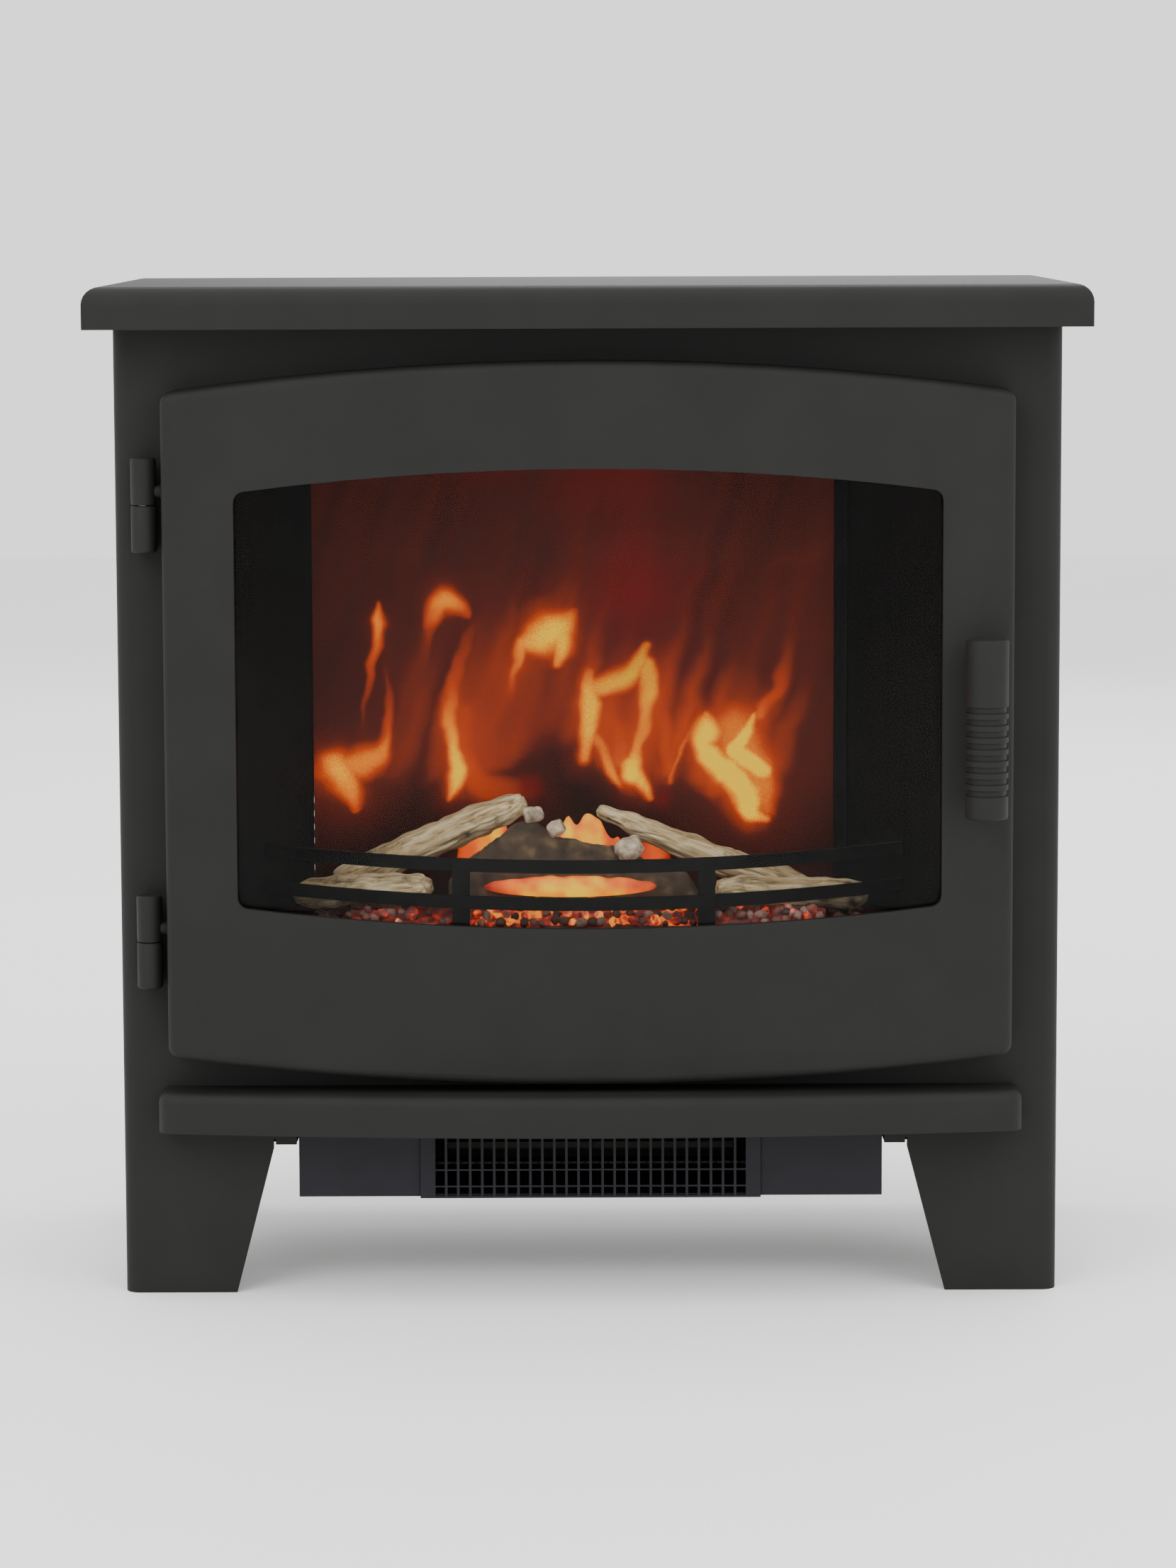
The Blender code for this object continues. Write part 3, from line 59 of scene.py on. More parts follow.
def addNode(material, kind, inputs, **settings):
    # adds a node; each input is a plain value or the output socket that feeds it
    tree = material.node_tree
    node = tree.nodes.new(kind)
    for name, value in settings.items():
        setattr(node, name, value)
    for name, value in inputs.items():
        if isinstance(value, bpy.types.NodeSocket):
            tree.links.new(value, node.inputs[name])
        else:
            node.inputs[name].default_value = value
    return node


def newMaterial(name, **settings):
    # a material whose shader gets plain values, and the places that its patterns are read at
    material = bpy.data.materials.new(name)
    material.use_nodes = True
    shader = material.node_tree.nodes["Principled BSDF"]
    for socket, value in settings.items():
        shader.inputs[socket.replace("_", " ")].default_value = value
    return material, addNode(material, "ShaderNodeTexCoord", {}).outputs["Object"]


def feed(material, socket, output):
    # links what varies over the surface to the shader
    tree = material.node_tree
    tree.links.new(output, tree.nodes["Principled BSDF"].inputs[socket])


def noiseOf(material, place, size, detail=2.0, roughness=0.5):
    # noise whose features are about this many millimetres across
    return addNode(material, "ShaderNodeTexNoise", {
        "Vector": place, "Scale": 1 / (size * mm), "Detail": detail, "Roughness": roughness}).outputs["Fac"]


def attributeOf(material, name):
    return addNode(material, "ShaderNodeAttribute", {}, attribute_name=name).outputs["Fac"]


def rangeOf(material, value, low, high, span=(0.0, 1.0)):
    # stretches a value from between the ends of span to between low and high
    stretched = addNode(material, "ShaderNodeMapRange", {
        "Value": value, "From Min": span[0], "From Max": span[1], "To Min": low, "To Max": high})
    return stretched.outputs["Result"]


def productOf(material, first, second):
    return addNode(material, "ShaderNodeMath", {0: first, 1: second}, operation="MULTIPLY").outputs["Value"]


def rampOf(material, value, stops):
    # a colour for each value; stops are (place, hex colour), in order
    ramp = addNode(material, "ShaderNodeValToRGB", {"Fac": value})
    elements = ramp.color_ramp.elements
    while len(elements) < len(stops):
        elements.new(0.5)
    for element, (place, code) in zip(elements, stops):
        element.position = place
        element.color = linearColour(code)
    return ramp.outputs["Color"]


def mixTo(material, share, colour, code):
    # goes from a varying colour to a plain one as share rises; 6 and 7 are the node's two colour inputs
    mixed = addNode(
        material, "ShaderNodeMix", {"Factor": share, 6: colour, 7: linearColour(code)}, data_type="RGBA")
    return mixed.outputs[2]


def addBump(material, height, strength, depth):
    # relief of this depth in millimetres
    bump = addNode(material, "ShaderNodeBump", {
        "Height": height, "Strength": strength, "Distance": depth * mm})
    feed(material, "Normal", bump.outputs["Normal"])


def mottled(name, size, detail, stops, **settings):
    # a plain surface whose colour drifts a little from place to place
    material, place = newMaterial(name, **settings)
    feed(material, "Base Color", rampOf(material, noiseOf(material, place, size, detail), stops))
    return material


coatingLook = {"base": "#1a1a19", "light": "#1c1c1b", "grain": 1.1, "mottle": 40.0}


def powderCoat(name="mattPowderCoat", look=coatingLook, roughness=0.60, strength=0.10, sheen=0.16):
    # polyester powder baked on steel: matt, with a fine orange peel and a faint cloudiness
    material, place = newMaterial(name, Roughness=roughness, Specular_IOR_Level=sheen)
    cloud = noiseOf(material, place, look["mottle"], 3.0)
    feed(material, "Base Color", rampOf(material, cloud, [(0.35, look["base"]), (0.65, look["light"])]))
    peel = noiseOf(material, place, look["grain"])
    feed(material, "Roughness", rangeOf(material, peel, roughness - 0.05, roughness + 0.07))
    addBump(material, peel, strength, 0.15)
    return material


def brushedMetal(name, pale, dark, roughness, direction=(1.0, 1.0, 1.0), streak=0.7):
    # plated or rolled metal: fine drawn lines that are short across and long along the working direction
    material, place = newMaterial(name, Metallic=1.0, Roughness=roughness)
    drawn = addNode(material, "ShaderNodeMapping", {"Vector": place, "Scale": direction})
    lines = noiseOf(material, drawn.outputs["Vector"], streak, 3.0)
    feed(material, "Base Color", rampOf(material, lines, [(0.3, dark), (0.7, pale)]))
    feed(material, "Roughness", rangeOf(material, lines, roughness - 0.06, roughness + 0.10))
    return material


def mouldedPlastic(name, colour, roughness=0.45, spark=0.8):
    # injection-moulded plastic with the fine sparked grain of its tool
    material, place = newMaterial(name, Roughness=roughness, Base_Color=linearColour(colour))
    grain = noiseOf(material, place, spark)
    feed(material, "Roughness", rangeOf(material, grain, roughness - 0.08, roughness + 0.08))
    addBump(material, grain, 0.12, 0.1)
    return material


flameLook = {
    "cold": "#0a0201", "dim": "#4e0f02", "orange": "#b83a00", "amber": "#ee8000", "yellow": "#ffd008",
    "redGlow": "#5e0100", "sheet": "#060302", "strength": 1.25, "speckle": 0.9, "grain": (0.62, 1.38),
}


def flamePicture():
    # smoked diffusing acrylic lit from behind: its warmth and redness say what is thrown on it
    look = flameLook
    material, place = newMaterial(
        "smokedDiffusingAcrylic", Roughness=0.5, Specular_IOR_Level=0.1,
        Base_Color=linearColour(look["sheet"]), Emission_Strength=look["strength"])
    grain = rangeOf(material, noiseOf(material, place, look["speckle"]), *look["grain"])
    tint = rampOf(material, productOf(material, attributeOf(material, "warmth"), grain), [
        (0.0, look["cold"]), (0.22, look["dim"]), (0.48, look["orange"]), (0.72, look["amber"]),
        (1.0, look["yellow"])])
    feed(material, "Emission Color", mixTo(material, attributeOf(material, "redness"), tint, look["redGlow"]))
    return material


def glowingResin(name, dark, hot, hotter, strength, size=5.0, mottle=(0.35, 1.35)):
    # amber resin lit from below: dark ash on top, and light wherever it is thin
    material, place = newMaterial(name, Roughness=0.55, Emission_Strength=strength)
    cells = noiseOf(material, place, size, 4.0)
    spotted = rangeOf(material, cells, *mottle, span=(0.35, 0.65))
    lit = productOf(material, attributeOf(material, "glow"), spotted)
    feed(material, "Emission Color", rampOf(material, lit, [
        (0.0, "#000000"), (0.25, dark), (0.6, hot), (1.0, hotter)]))
    feed(material, "Base Color", rampOf(material, cells, [(0.3, "#0e0704"), (0.7, "#3a2014")]))
    addBump(material, cells, 0.4, 0.6)
    return material


def cinderResin():
    # cast resin pebbles: dark cinders, rusty ones and ash-grey ones, lit from inside where they are hot
    material, place = newMaterial("cinderResin", Roughness=0.7, Emission_Strength=1.1)
    skin = rampOf(material, attributeOf(material, "ash"), [
        (0.0, "#1b0f0b"), (0.45, "#5b2a1c"), (0.75, "#8c5546"), (1.0, "#b59a8c")])
    feed(material, "Base Color", mixTo(material, noiseOf(material, place, 2.4, 4.0), skin, "#2b1812"))
    feed(material, "Emission Color", rampOf(material, attributeOf(material, "glow"), [
        (0.3, "#000000"), (0.55, "#5a0500"), (0.8, "#d02c02"), (1.0, "#ff9420")]))
    return material


woodLook = {
    "groove": "#4a3a26", "body": "#b0966a", "pale": "#d9c8a0", "knot": "#33281c",
    "grain": 2.6, "fibre": 0.8, "long": 14.0, "blotch": 16.0,
}


def driftwoodResin(name, axis, centre):
    # cast resin painted as bleached driftwood: long pale fibres, dark washed-in splits
    look = woodLook
    material, place = newMaterial(name, Roughness=0.86)
    turn = Vector((1, 0, 0)).rotation_difference(axis).to_euler()
    local = addNode(material, "ShaderNodeMapping", {
        "Vector": place, "Location": centre, "Rotation": turn}, vector_type="TEXTURE")
    along = addNode(material, "ShaderNodeMapping", {
        "Vector": local.outputs["Vector"], "Scale": (1 / look["long"], 1.0, 1.0)}).outputs["Vector"]
    fibre = noiseOf(material, along, look["grain"], 6.0, 0.62)
    tint = rampOf(material, fibre, [(0.30, look["groove"]), (0.45, look["body"]), (0.62, look["pale"])])
    worn = rangeOf(material, noiseOf(material, place, look["blotch"], 3.0), 0.0, 1.0, (0.56, 0.72))
    feed(material, "Base Color", mixTo(material, worn, tint, look["knot"]))
    addBump(material, noiseOf(material, along, look["fibre"], 4.0), 0.55, 0.5)
    return material


def ashenResin(name, stops, size, roughness=0.9, depth=0.8):
    # cast resin painted as charred wood or stone: dry, mottled and gritty
    material, place = newMaterial(name, Roughness=roughness)
    feed(material, "Base Color", rampOf(material, noiseOf(material, place, size, 6.0), stops))
    addBump(material, noiseOf(material, place, 1.2, 3.0), 0.6, depth)
    return material


def solderMask():
    # fibreglass board under green solder mask, with its woven cloth just showing
    material, place = newMaterial("solderMask", Roughness=0.38)
    weave = addNode(material, "ShaderNodeTexWave", {
        "Vector": place, "Scale": 1 / (9.0 * mm), "Distortion": 1.5})
    feed(material, "Base Color", rampOf(material, weave.outputs["Fac"], [(0.2, "#0c3320"), (0.8, "#12462b")]))
    return material


lensLook = {
    "cap": "#f2d9a0", "warm": "#ff9c3a", "pale": "#ffb45a", "strength": 1.2, "grain": 1.5,
    "count": 12, "half": 1.9, "sunk": 0.2, "proud": 0.3,
}


def phosphorLens():
    # the yellow phosphor cap of a warm white diode
    look = lensLook
    material, place = newMaterial(
        "phosphorLens", Roughness=0.3,
        Base_Color=linearColour(look["cap"]), Emission_Strength=look["strength"])
    feed(material, "Emission Color", rampOf(material, noiseOf(material, place, look["grain"]), [
        (0.2, look["warm"]), (0.8, look["pale"])]))
    return material


blackLook = {"base": "#0a0a09", "light": "#0e0e0d", "grain": 0.9, "mottle": 26.0}
heaterLook = {"base": "#19191d", "light": "#1c1c21", "grain": 1.0, "mottle": 26.0}
charLook = [(0.30, "#1c140c"), (0.55, "#483724"), (0.75, "#6d5a40")]
pebbleLook = [(0.30, "#5f5343"), (0.5, "#a3927a"), (0.7, "#cdbfa6")]
finishes = {
    "coated_steel": powderCoat(),
    "black_steel": powderCoat("heatproofBlackPaint", blackLook, 0.78, 0.05, 0.08),
    "heater_paint": powderCoat("satinInkPaint", heaterLook, 0.48, 0.06),
    "steel": brushedMetal("zincPlatedSteel", "#b9babb", "#8d8e90", 0.34),
    # steel darkened past its own colour as painted shade, for parts that sit in shade behind the grille and the
    # screen
    "tintedSteel": brushedMetal("heatTintedSteel", "#3a3836", "#232120", 0.5),
    "aluminium": brushedMetal("rolledAluminium", "#d9dadb", "#b4b5b7", 0.28, (0.05, 1.0, 1.0)),
    "brass": brushedMetal("turnedBrass", "#c7a35a", "#9c7a3c", 0.30),
    # clear float glass: nearly all light goes straight through it
    "glass": mottled(
        "toughenedGlass", 60.0, 4.0, [(0.3, "#060606"), (0.8, "#0b0b0b")],
        Roughness=0.04, IOR=1.5, Alpha=0.07),
    "acrylic": flamePicture(),
    # moulded silicone: dull black with a soft bloom
    "rubber": mottled("siliconeRubber", 8.0, 3.0, [(0.3, "#101010"), (0.7, "#1a1a1a")], Roughness=0.78),
    "ember_resin": glowingResin("amberEmberResin", "#4a0400", "#c02202", "#f07a10", 1.1),
    "hotResin": glowingResin("clearAmberResin", "#960a00", "#ee5c00", "#ffc408", 1.4, 9.0, (0.85, 1.12)),
    "cinders": cinderResin(),
    "charred_wood": ashenResin("charredResin", charLook, 9.0),
    "stone": ashenResin("pebbleResin", pebbleLook, 6.0, 0.85, 0.5),
    "circuit": solderMask(),
    "lens": phosphorLens(),
    "black_plastic": mouldedPlastic("glassFilledNylon", "#141415"),
}
print("finishes: %d" % len(finishes))


slotOf = {part["node"]: part["material_slot"] for part in frame["record"]["subparts"]}
bodyOf = {}
for bodyName, members in frame["record"]["behaviour"]["bodies"].items():
    for member in members:
        bodyOf[member] = bodyName


def meshOf(name, shape):
    # the bmesh as a mesh; the bmesh is used up
    mesh = bpy.data.meshes.new(name)
    shape.to_mesh(mesh)
    shape.free()
    return mesh


def addObject(name, data):
    item = bpy.data.objects.new(name, data)
    bpy.context.scene.collection.objects.link(item)
    return item


def joinTo(shape, extra):
    # adds one bmesh to another; the extra one is used up
    mesh = meshOf("extra", extra)
    shape.from_mesh(mesh)
    bpy.data.meshes.remove(mesh)


def finishPiece(name, shape, material, slot, body="casing", nodes=(), sharp=35, bevel=0.0):
    # makes the object of a finished bmesh, gives it its finish and its body
    mesh = meshOf(name, shape)
    piece = addObject(name, mesh)
    mesh.materials.append(material)
    mesh.shade_smooth()
    mesh.set_sharp_from_angle(angle=math.radians(sharp))
    if bevel:
        edge = piece.modifiers.new("edge", "BEVEL")
        edge.width = bevel
        edge.segments = 2
        edge.limit_method = "ANGLE"
        edge.angle_limit = math.radians(40)
        edge.harden_normals = True
    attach(piece, body)
    if nodes:
        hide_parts(*nodes)
    return piece


def camelName(node):
    words = node.split("_")
    return words[0] + "".join(word.capitalize() for word in words[1:])


def replaceNode(node, shape, material, **settings):
    # the finished form of one CAD node, on that node's own body
    return finishPiece(camelName(node), shape, material, slotOf[node], bodyOf[node], [node], **settings)


def weldedCopy(node):
    # the CAD node's mesh as one closed, joined-up surface
    shape = bmesh.new()
    shape.from_mesh(frame["nodes"][node].data)
    bmesh.ops.remove_doubles(shape, verts=shape.verts, dist=0.02 * mm)
    return shape


def addBlock(shape, low, high):
    size = [b - a for a, b in zip(low, high)]
    middle = [(a + b) / 2 for a, b in zip(low, high)]
    bmesh.ops.create_cube(shape, size=1.0, matrix=Matrix.Translation(middle) @ Matrix.Diagonal((*size, 1.0)))


def rimOf(shape):
    return [edge for edge in shape.edges if edge.is_boundary]


def closeSheet(shape, axis, level):
    # carries an open sheet's rim to a level on one axis, and closes it there with a flat face
    skirt = bmesh.ops.extrude_edge_only(shape, edges=rimOf(shape))["geom"]
    for corner in [item for item in skirt if isinstance(item, bmesh.types.BMVert)]:
        corner.co[axis] = level
    bmesh.ops.contextual_create(shape, geom=rimOf(shape))
    bmesh.ops.recalc_face_normals(shape, faces=shape.faces)


def turnProfile(shape, profile, segments, place):
    # spins a profile of (radius, height) once round Z, puts it at place and adds it to the shape
    turned = bmesh.new()
    points = [turned.verts.new((radius, 0.0, height)) for radius, height in profile]
    edges = [turned.edges.new(pair) for pair in zip(points, points[1:])]
    bmesh.ops.spin(
        turned, geom=points + edges, cent=(0, 0, 0), axis=(0, 0, 1), angle=math.tau, steps=segments,
        use_merge=True)
    bmesh.ops.remove_doubles(turned, verts=turned.verts, dist=0.002 * mm)
    turned.transform(place)
    bmesh.ops.recalc_face_normals(turned, faces=turned.faces)
    joinTo(shape, turned)


def quarterTurn(steps):
    # sine and cosine at even steps through a right angle, for rounded corners in a profile
    return [(math.sin(math.pi / 2 * i / steps), math.cos(math.pi / 2 * i / steps)) for i in range(steps + 1)]


def pivotOf(body):
    return next(joint for joint in frame["joints"] if joint["child"] == body)["pos_m"]


edgeRounds = {
    # node: the width of its rounded edges, in millimetres
    "top_plate": 0.0, "front_fascia": 0.5, "left_side_panel": 0.5, "right_side_panel": 0.5, "back_panel": 0.2,
    "base_plate": 0.3, "hearth_shelf": 0.6, "door_frame": 0.7, "left_liner": 0.2, "right_liner": 0.2,
    "firebox_ceiling": 0.3, "firebox_floor": 0.3, "fire_fret": 0.7, "heater_housing": 0.4,
    "control_panel": 0.4, "upper_glass_retainer": 0.2, "lower_glass_retainer": 0.2,
    "left_spinner_bracket": 0.2, "right_spinner_bracket": 0.2, "spinner_motor": 0.6, "fan_bearing_plate": 0.2,
    "fan_motor": 0.6, "flame_mask": 0.0, "flame_spinner": 0.0, "fan_rotor": 0.0, "door_glass": 0.6,
    "glass_gasket": 0.3, "handle_bush": 0.2, "spindle_nut": 0.3, "latch_cam": 0.4, "handle_spindle": 0.3,
    "rocker_power": 0.6, "rocker_low_heat": 0.6, "rocker_high_heat": 0.6, "thermal_cutout": 0.4,
    "terminal_block": 0.5, "screen_edge_trim": 0.2, "flame_led_strip": 0.0, "ember_led_strip": 0.0,
    "control_board": 0.0, "upper_hinge_pin": 0.3, "lower_hinge_pin": 0.3, "heater_grille": 0.25,
}
finishOf = {
    # the fan parts and the spinner brackets take the steel darkened as painted shade
    "fan_rotor": "tintedSteel", "fan_bearing_plate": "tintedSteel", "fan_motor": "tintedSteel",
    "left_spinner_bracket": "tintedSteel", "right_spinner_bracket": "tintedSteel",
    "screen_edge_trim": "black_steel",
}
for node, width in edgeRounds.items():
    shape = weldedCopy(node)
    bmesh.ops.dissolve_limit(
        shape, angle_limit=math.radians(0.5), verts=shape.verts[:], edges=shape.edges[:])
    replaceNode(node, shape, finishes[finishOf.get(node, slotOf[node])], bevel=width * mm)
print("carried pieces: %d" % len(edgeRounds))


flameStrokes = {
    # each tongue runs through points of (across, up, half-width, heat), in millimetres from the screen's foot
    "leftTongue": [(-158, 122, 5, .42), (-150, 117, 11, .66), (-143, 106, 9, .64), (-141, 92, 3, .42)],
    "leftShoulder": [(-148, 117, 9, .58), (-132, 120, 11, .62), (-120, 128, 7, .58), (-117, 138, 4, .42)],
    "leftRiser": [(-118, 134, 5, .48), (-117, 155, 4, .34), (-117, 182, 3, .20), (-116, 205, 2, .12)],
    "thinLick": [(-121, 224, 1.5, .42), (-122, 210, 4.2, .62), (-125, 192, 4, .46),
        (-130, 168, 3, .30), (-134, 140, 2, .2)],
    "hookLick": [(-91, 208, 4, .34), (-84, 222, 7.5, .62), (-76, 222, 7, .62), (-66, 214, 3.5, .36)],
    "hookTail": [(-88, 212, 4, .34), (-94, 190, 4, .24), (-100, 160, 3, .20), (-104, 146, 3, .12)],
    "columnTop": [(-52, 222, 4, .14), (-64, 202, 6, .24), (-74, 175, 6, .36), (-79, 145, 6, .54)],
    "column": [(-79, 148, 6, .54), (-75, 124, 6.5, .80), (-75, 108, 6, .80), (-78, 98, 2.5, .50)],
    "columnVeil": [(-70, 150, 12, .38), (-68, 122, 12, .42), (-58, 106, 12, .38), (-30, 104, 9, .26)],
    "crookTop": [(1, 216, 3, .40), (-6, 206, 9, .68), (-18, 201, 12, .80), (-31, 198, 6, .60)],
    "crookHook": [(-8, 206, 8, .74), (-7, 194, 7.5, .80), (-11, 185, 3.5, .60)],
    "crookTail": [(-33, 198, 5, .66), (-35, 184, 4.2, .56), (-39, 166, 3, .40)],
    "crookHaze": [(-2, 216, 4, .30), (2, 236, 4, .20), (4, 264, 3, .12)],
    "loopLeft": [(12, 178, 4, .48), (11, 162, 6.5, .72), (9, 144, 6, .72), (6, 124, 5, .60)],
    "loopTop": [(14, 168, 7, .68), (27, 171, 8, .74), (38, 177, 7, .76), (47, 194, 2, .60)],
    "loopRight": [(46, 182, 6, .72), (48, 165, 6, .70), (44, 145, 5, .58),
        (39, 128, 5, .60), (37, 112, 6, .84)],
    "loopCross": [(9, 140, 5, .56), (19, 128, 5, .52), (26, 112, 4, .60), (30, 106, 3, .4)],
    "loopFill": [(18, 158, 9, .36), (26, 140, 9, .40), (30, 122, 9, .42)],
    "loopFoot": [(36, 120, 6, .82), (42, 107, 5, .78), (48, 98, 2.5, .55)],
    "loopVeil": [(52, 162, 7, .36), (56, 140, 8, .38), (60, 116, 7, .38)],
    "sliver": [(80, 158, 1.4, .26), (70, 133, 2.0, .44), (61, 108, 2.0, .46)],
    "sliverUp": [(78, 160, 2, .20), (82, 196, 3, .13), (88, 230, 3, .09)],
    "blazeLeft": [(85, 152, 3, .55), (84, 142, 9, .86), (80, 134, 7, .88),
        (86, 125, 8, .98), (95, 116, 8, 1.0)],
    "blazeMid": [(113, 148, 3, .62), (108, 137, 6, .84), (102, 129, 6, 1.0),
        (110, 120, 6, .96), (119, 113, 5, .80)],
    "blazeFoot": [(95, 117, 8, .96), (103, 108, 8, .98), (110, 97, 8, 1.0),
        (112, 89, 6, .94), (121, 85, 3, .6)],
    "blazeVeil": [(100, 142, 18, .56), (108, 122, 19, .60), (116, 104, 14, .58), (122, 92, 7, .5)],
    "blazeTongue": [(118, 148, 7, .50), (126, 166, 6, .38), (136, 190, 6, .24), (150, 218, 6, .12)],
    "upperStreak": [(112, 238, 2, .06), (126, 246, 2.5, .17), (144, 250, 3, .17), (164, 252, 2, .08)],
}
flameHazes = [
    # soft clouds of (across, up, half-width, half-height, heat) behind the tongues
    (-140, 100, 22, 30, .20), (-112, 140, 26, 55, .13), (-82, 150, 30, 70, .17), (-60, 110, 26, 34, .26),
    (-40, 150, 34, 60, .20), (-10, 180, 40, 60, .15), (24, 136, 34, 48, .26), (55, 150, 30, 60, .18),
    (100, 118, 34, 46, .34), (122, 175, 34, 60, .17), (-110, 60, 60, 22, .05), (60, 240, 90, 60, .06),
    (-60, 250, 90, 60, .05),
]
ashLine = [
    # the top of the dark heap thrown on the screen behind the logs, as (across, up)
    (-170, 82), (-140, 92), (-127, 99), (-99, 103), (-76, 97), (-53, 103), (-30, 117), (-13, 130), (4, 117),
    (24, 105), (44, 98), (73, 98), (96, 86), (116, 82), (135, 84), (170, 92),
]
redClouds = [
    # (across, up, half-width, half-height, redness)
    (38, 226, 30, 46, .80), (24, 300, 40, 34, .55), (-40, 318, 60, 24, .25), (-28, 106, 7, 7, .95),
    (56, 98, 6, 7, .85), (-20, 140, 20, 20, .25),
]


def curveThrough(points, steps=6):
    # a smooth run through the points of a tongue, so that it bends without corners
    padded = [points[0], *points, points[-1]]
    run = []
    for a, b, c, d in zip(padded, padded[1:], padded[2:], padded[3:]):
        a, b, c, d = (np.array(point, dtype=float) for point in (a, b, c, d))
        for t in np.arange(steps) / steps:
            run.append(0.5 * (2 * b + (c - a) * t + (2 * a - 5 * b + 4 * c - d) * t ** 2
                              + (3 * b - a - 3 * c + d) * t ** 3))
    return [*run, np.array(points[-1], dtype=float)]


def tongueHeat(across, up, points):
    # hottest along the middle of the run, fading over its width, with a dim glow round it
    heat = np.zeros_like(across)
    run = curveThrough(points)
    for (ax, az, aw, ah), (bx, bz, bw, bh) in zip(run, run[1:]):
        dx, dz = bx - ax, bz - az
        share = np.clip(((across - ax) * dx + (up - az) * dz) / max(dx * dx + dz * dz, 1e-6), 0, 1)
        distance = np.hypot(across - ax - share * dx, up - az - share * dz)
        width = np.maximum(aw + (bw - aw) * share, 0.8)
        warmth = ah + (bh - ah) * share
        heat = np.maximum(heat, warmth / (1.0 + (distance / width) ** 2.8))
        heat = np.maximum(heat, 0.40 * warmth * np.exp(-(distance / (2.8 * width)) ** 2))
    return heat


def waver(across, up, size, seed):
    # smooth noise over the screen, sampled every few millimetres and stretched between
    columns = np.arange(across.min() - size, across.max() + 2 * size, size / 2)
    rows = np.arange(up.min() - size, up.max() + 2 * size, size / 2)
    grid = np.array([[noise.noise(Vector((x / size, z / size, seed))) for x in columns] for z in rows])
    i = (across - columns[0]) / (size / 2)
    j = (up - rows[0]) / (size / 2)
    i0, j0 = i.astype(int), j.astype(int)
    u, v = i - i0, j - j0
    low = grid[j0, i0] * (1 - u) + grid[j0, i0 + 1] * u
    high = grid[j0 + 1, i0] * (1 - u) + grid[j0 + 1, i0 + 1] * u
    return low * (1 - v) + high * v


def flameHeat(across, up):
    sway = 5.0 * waver(across, up, 26.0, 3.0) + 2.6 * waver(across, up, 9.0, 7.0)
    lift = 4.0 * waver(across, up, 26.0, 11.0) + 1.6 * waver(across, up, 8.0, 19.0)
    x, z = across + sway, up + lift
    haze = np.full_like(across, 0.09)
    lean = 0.22 * (z - 100.0)
    for middle, height, width, tall, warmth in flameHazes:
        far = ((x - lean * 0.5 - middle) / width) ** 2 + ((z - height) / tall) ** 2
        haze = haze + 0.62 * warmth * np.exp(-far)
    streaks = 1.0 + 0.55 * waver((x - 0.30 * z) * 1.6, z * 0.22, 16.0, 5.0)
    haze = haze * streaks
    dark = np.interp(x, [point[0] for point in ashLine], [point[1] for point in ashLine])
    dark = dark + 3.5 * waver(across * 2.0, up * 2.0, 9.0, 13.0)
    haze = haze * (1.0 / (1.0 + np.exp(-(z - dark - 4.0) / 4.0)))
    top = 1.0 - 0.45 * np.clip((up - 230.0) / 120.0, 0, 1)
    heat = haze * top
    for points in flameStrokes.values():
        heat = np.maximum(heat, tongueHeat(x, z, points)) + 0.12 * tongueHeat(x, z, points)
    return np.clip(heat, 0, 1)


def flameRed(across, up):
    red = np.zeros_like(across)
    for middle, height, width, tall, strength in redClouds:
        far = ((across - middle) / width) ** 2 + ((up - height) / tall) ** 2
        red = np.maximum(red, strength * np.exp(-far))
    return np.clip(red * (1.0 + 0.5 * waver(across, up, 30.0, 17.0)), 0, 1)


screenLook = {"cell": 1.25}


def makeFlameScreen():
    low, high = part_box("flame_screen")
    middle, size = (low + high) / 2, high - low
    cell = screenLook["cell"] * mm
    shape = bmesh.new()
    stand = Matrix.Translation((middle.x, low.y, middle.z)) @ Matrix.Rotation(
        math.pi / 2, 4, "X") @ Matrix.Diagonal((size.x / 2, size.z / 2, 1.0, 1.0))
    bmesh.ops.create_grid(
        shape, x_segments=round(size.x / cell), y_segments=round(size.z / cell), size=1.0, matrix=stand)
    closeSheet(shape, 1, high.y)
    screen = replaceNode("flame_screen", shape, finishes["acrylic"])
    places = np.array([corner.co for corner in screen.data.vertices])
    across = (places[:, 0] - middle.x) / mm
    up = (places[:, 2] - low.z) / mm
    for name, values in (("warmth", flameHeat(across, up)), ("redness", flameRed(across, up))):
        attribute = screen.data.attributes.new(name, "FLOAT", "POINT")
        attribute.data.foreach_set("value", values.astype(np.float32))


# painted shade: a black strip put where the slit beside the screen lies in shade
slitShadeLook = {"thickness": 1.4, "start": 1.0, "reach": 2.2, "bevel": 0.4}


def makeSlitShadeStrip():
    # a black strip over the slit between the screen's trim and the liner: painted shade, a dark sheet that keeps
    # the slit dark
    look = slitShadeLook
    low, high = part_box("screen_edge_trim")
    shape = bmesh.new()
    addBlock(shape, (low.x + look["start"] * mm, low.y - look["thickness"] * mm, low.z),
             (high.x + look["reach"] * mm, low.y, high.z))
    finishPiece("screenSeal", shape, finishes["black_steel"], "black_steel", bevel=look["bevel"] * mm)


makeFlameScreen()
makeSlitShadeStrip()
print("flame screen ready")


handleLook = {
    "plain": 40.0, "grooves": 8, "pitch": 7.10, "groove": 3.8, "depth": 1.3, "endRound": 1.6, "lip": 0.15,
    "boss": 8.5, "neck": 2.2, "edge": 0.6,
}


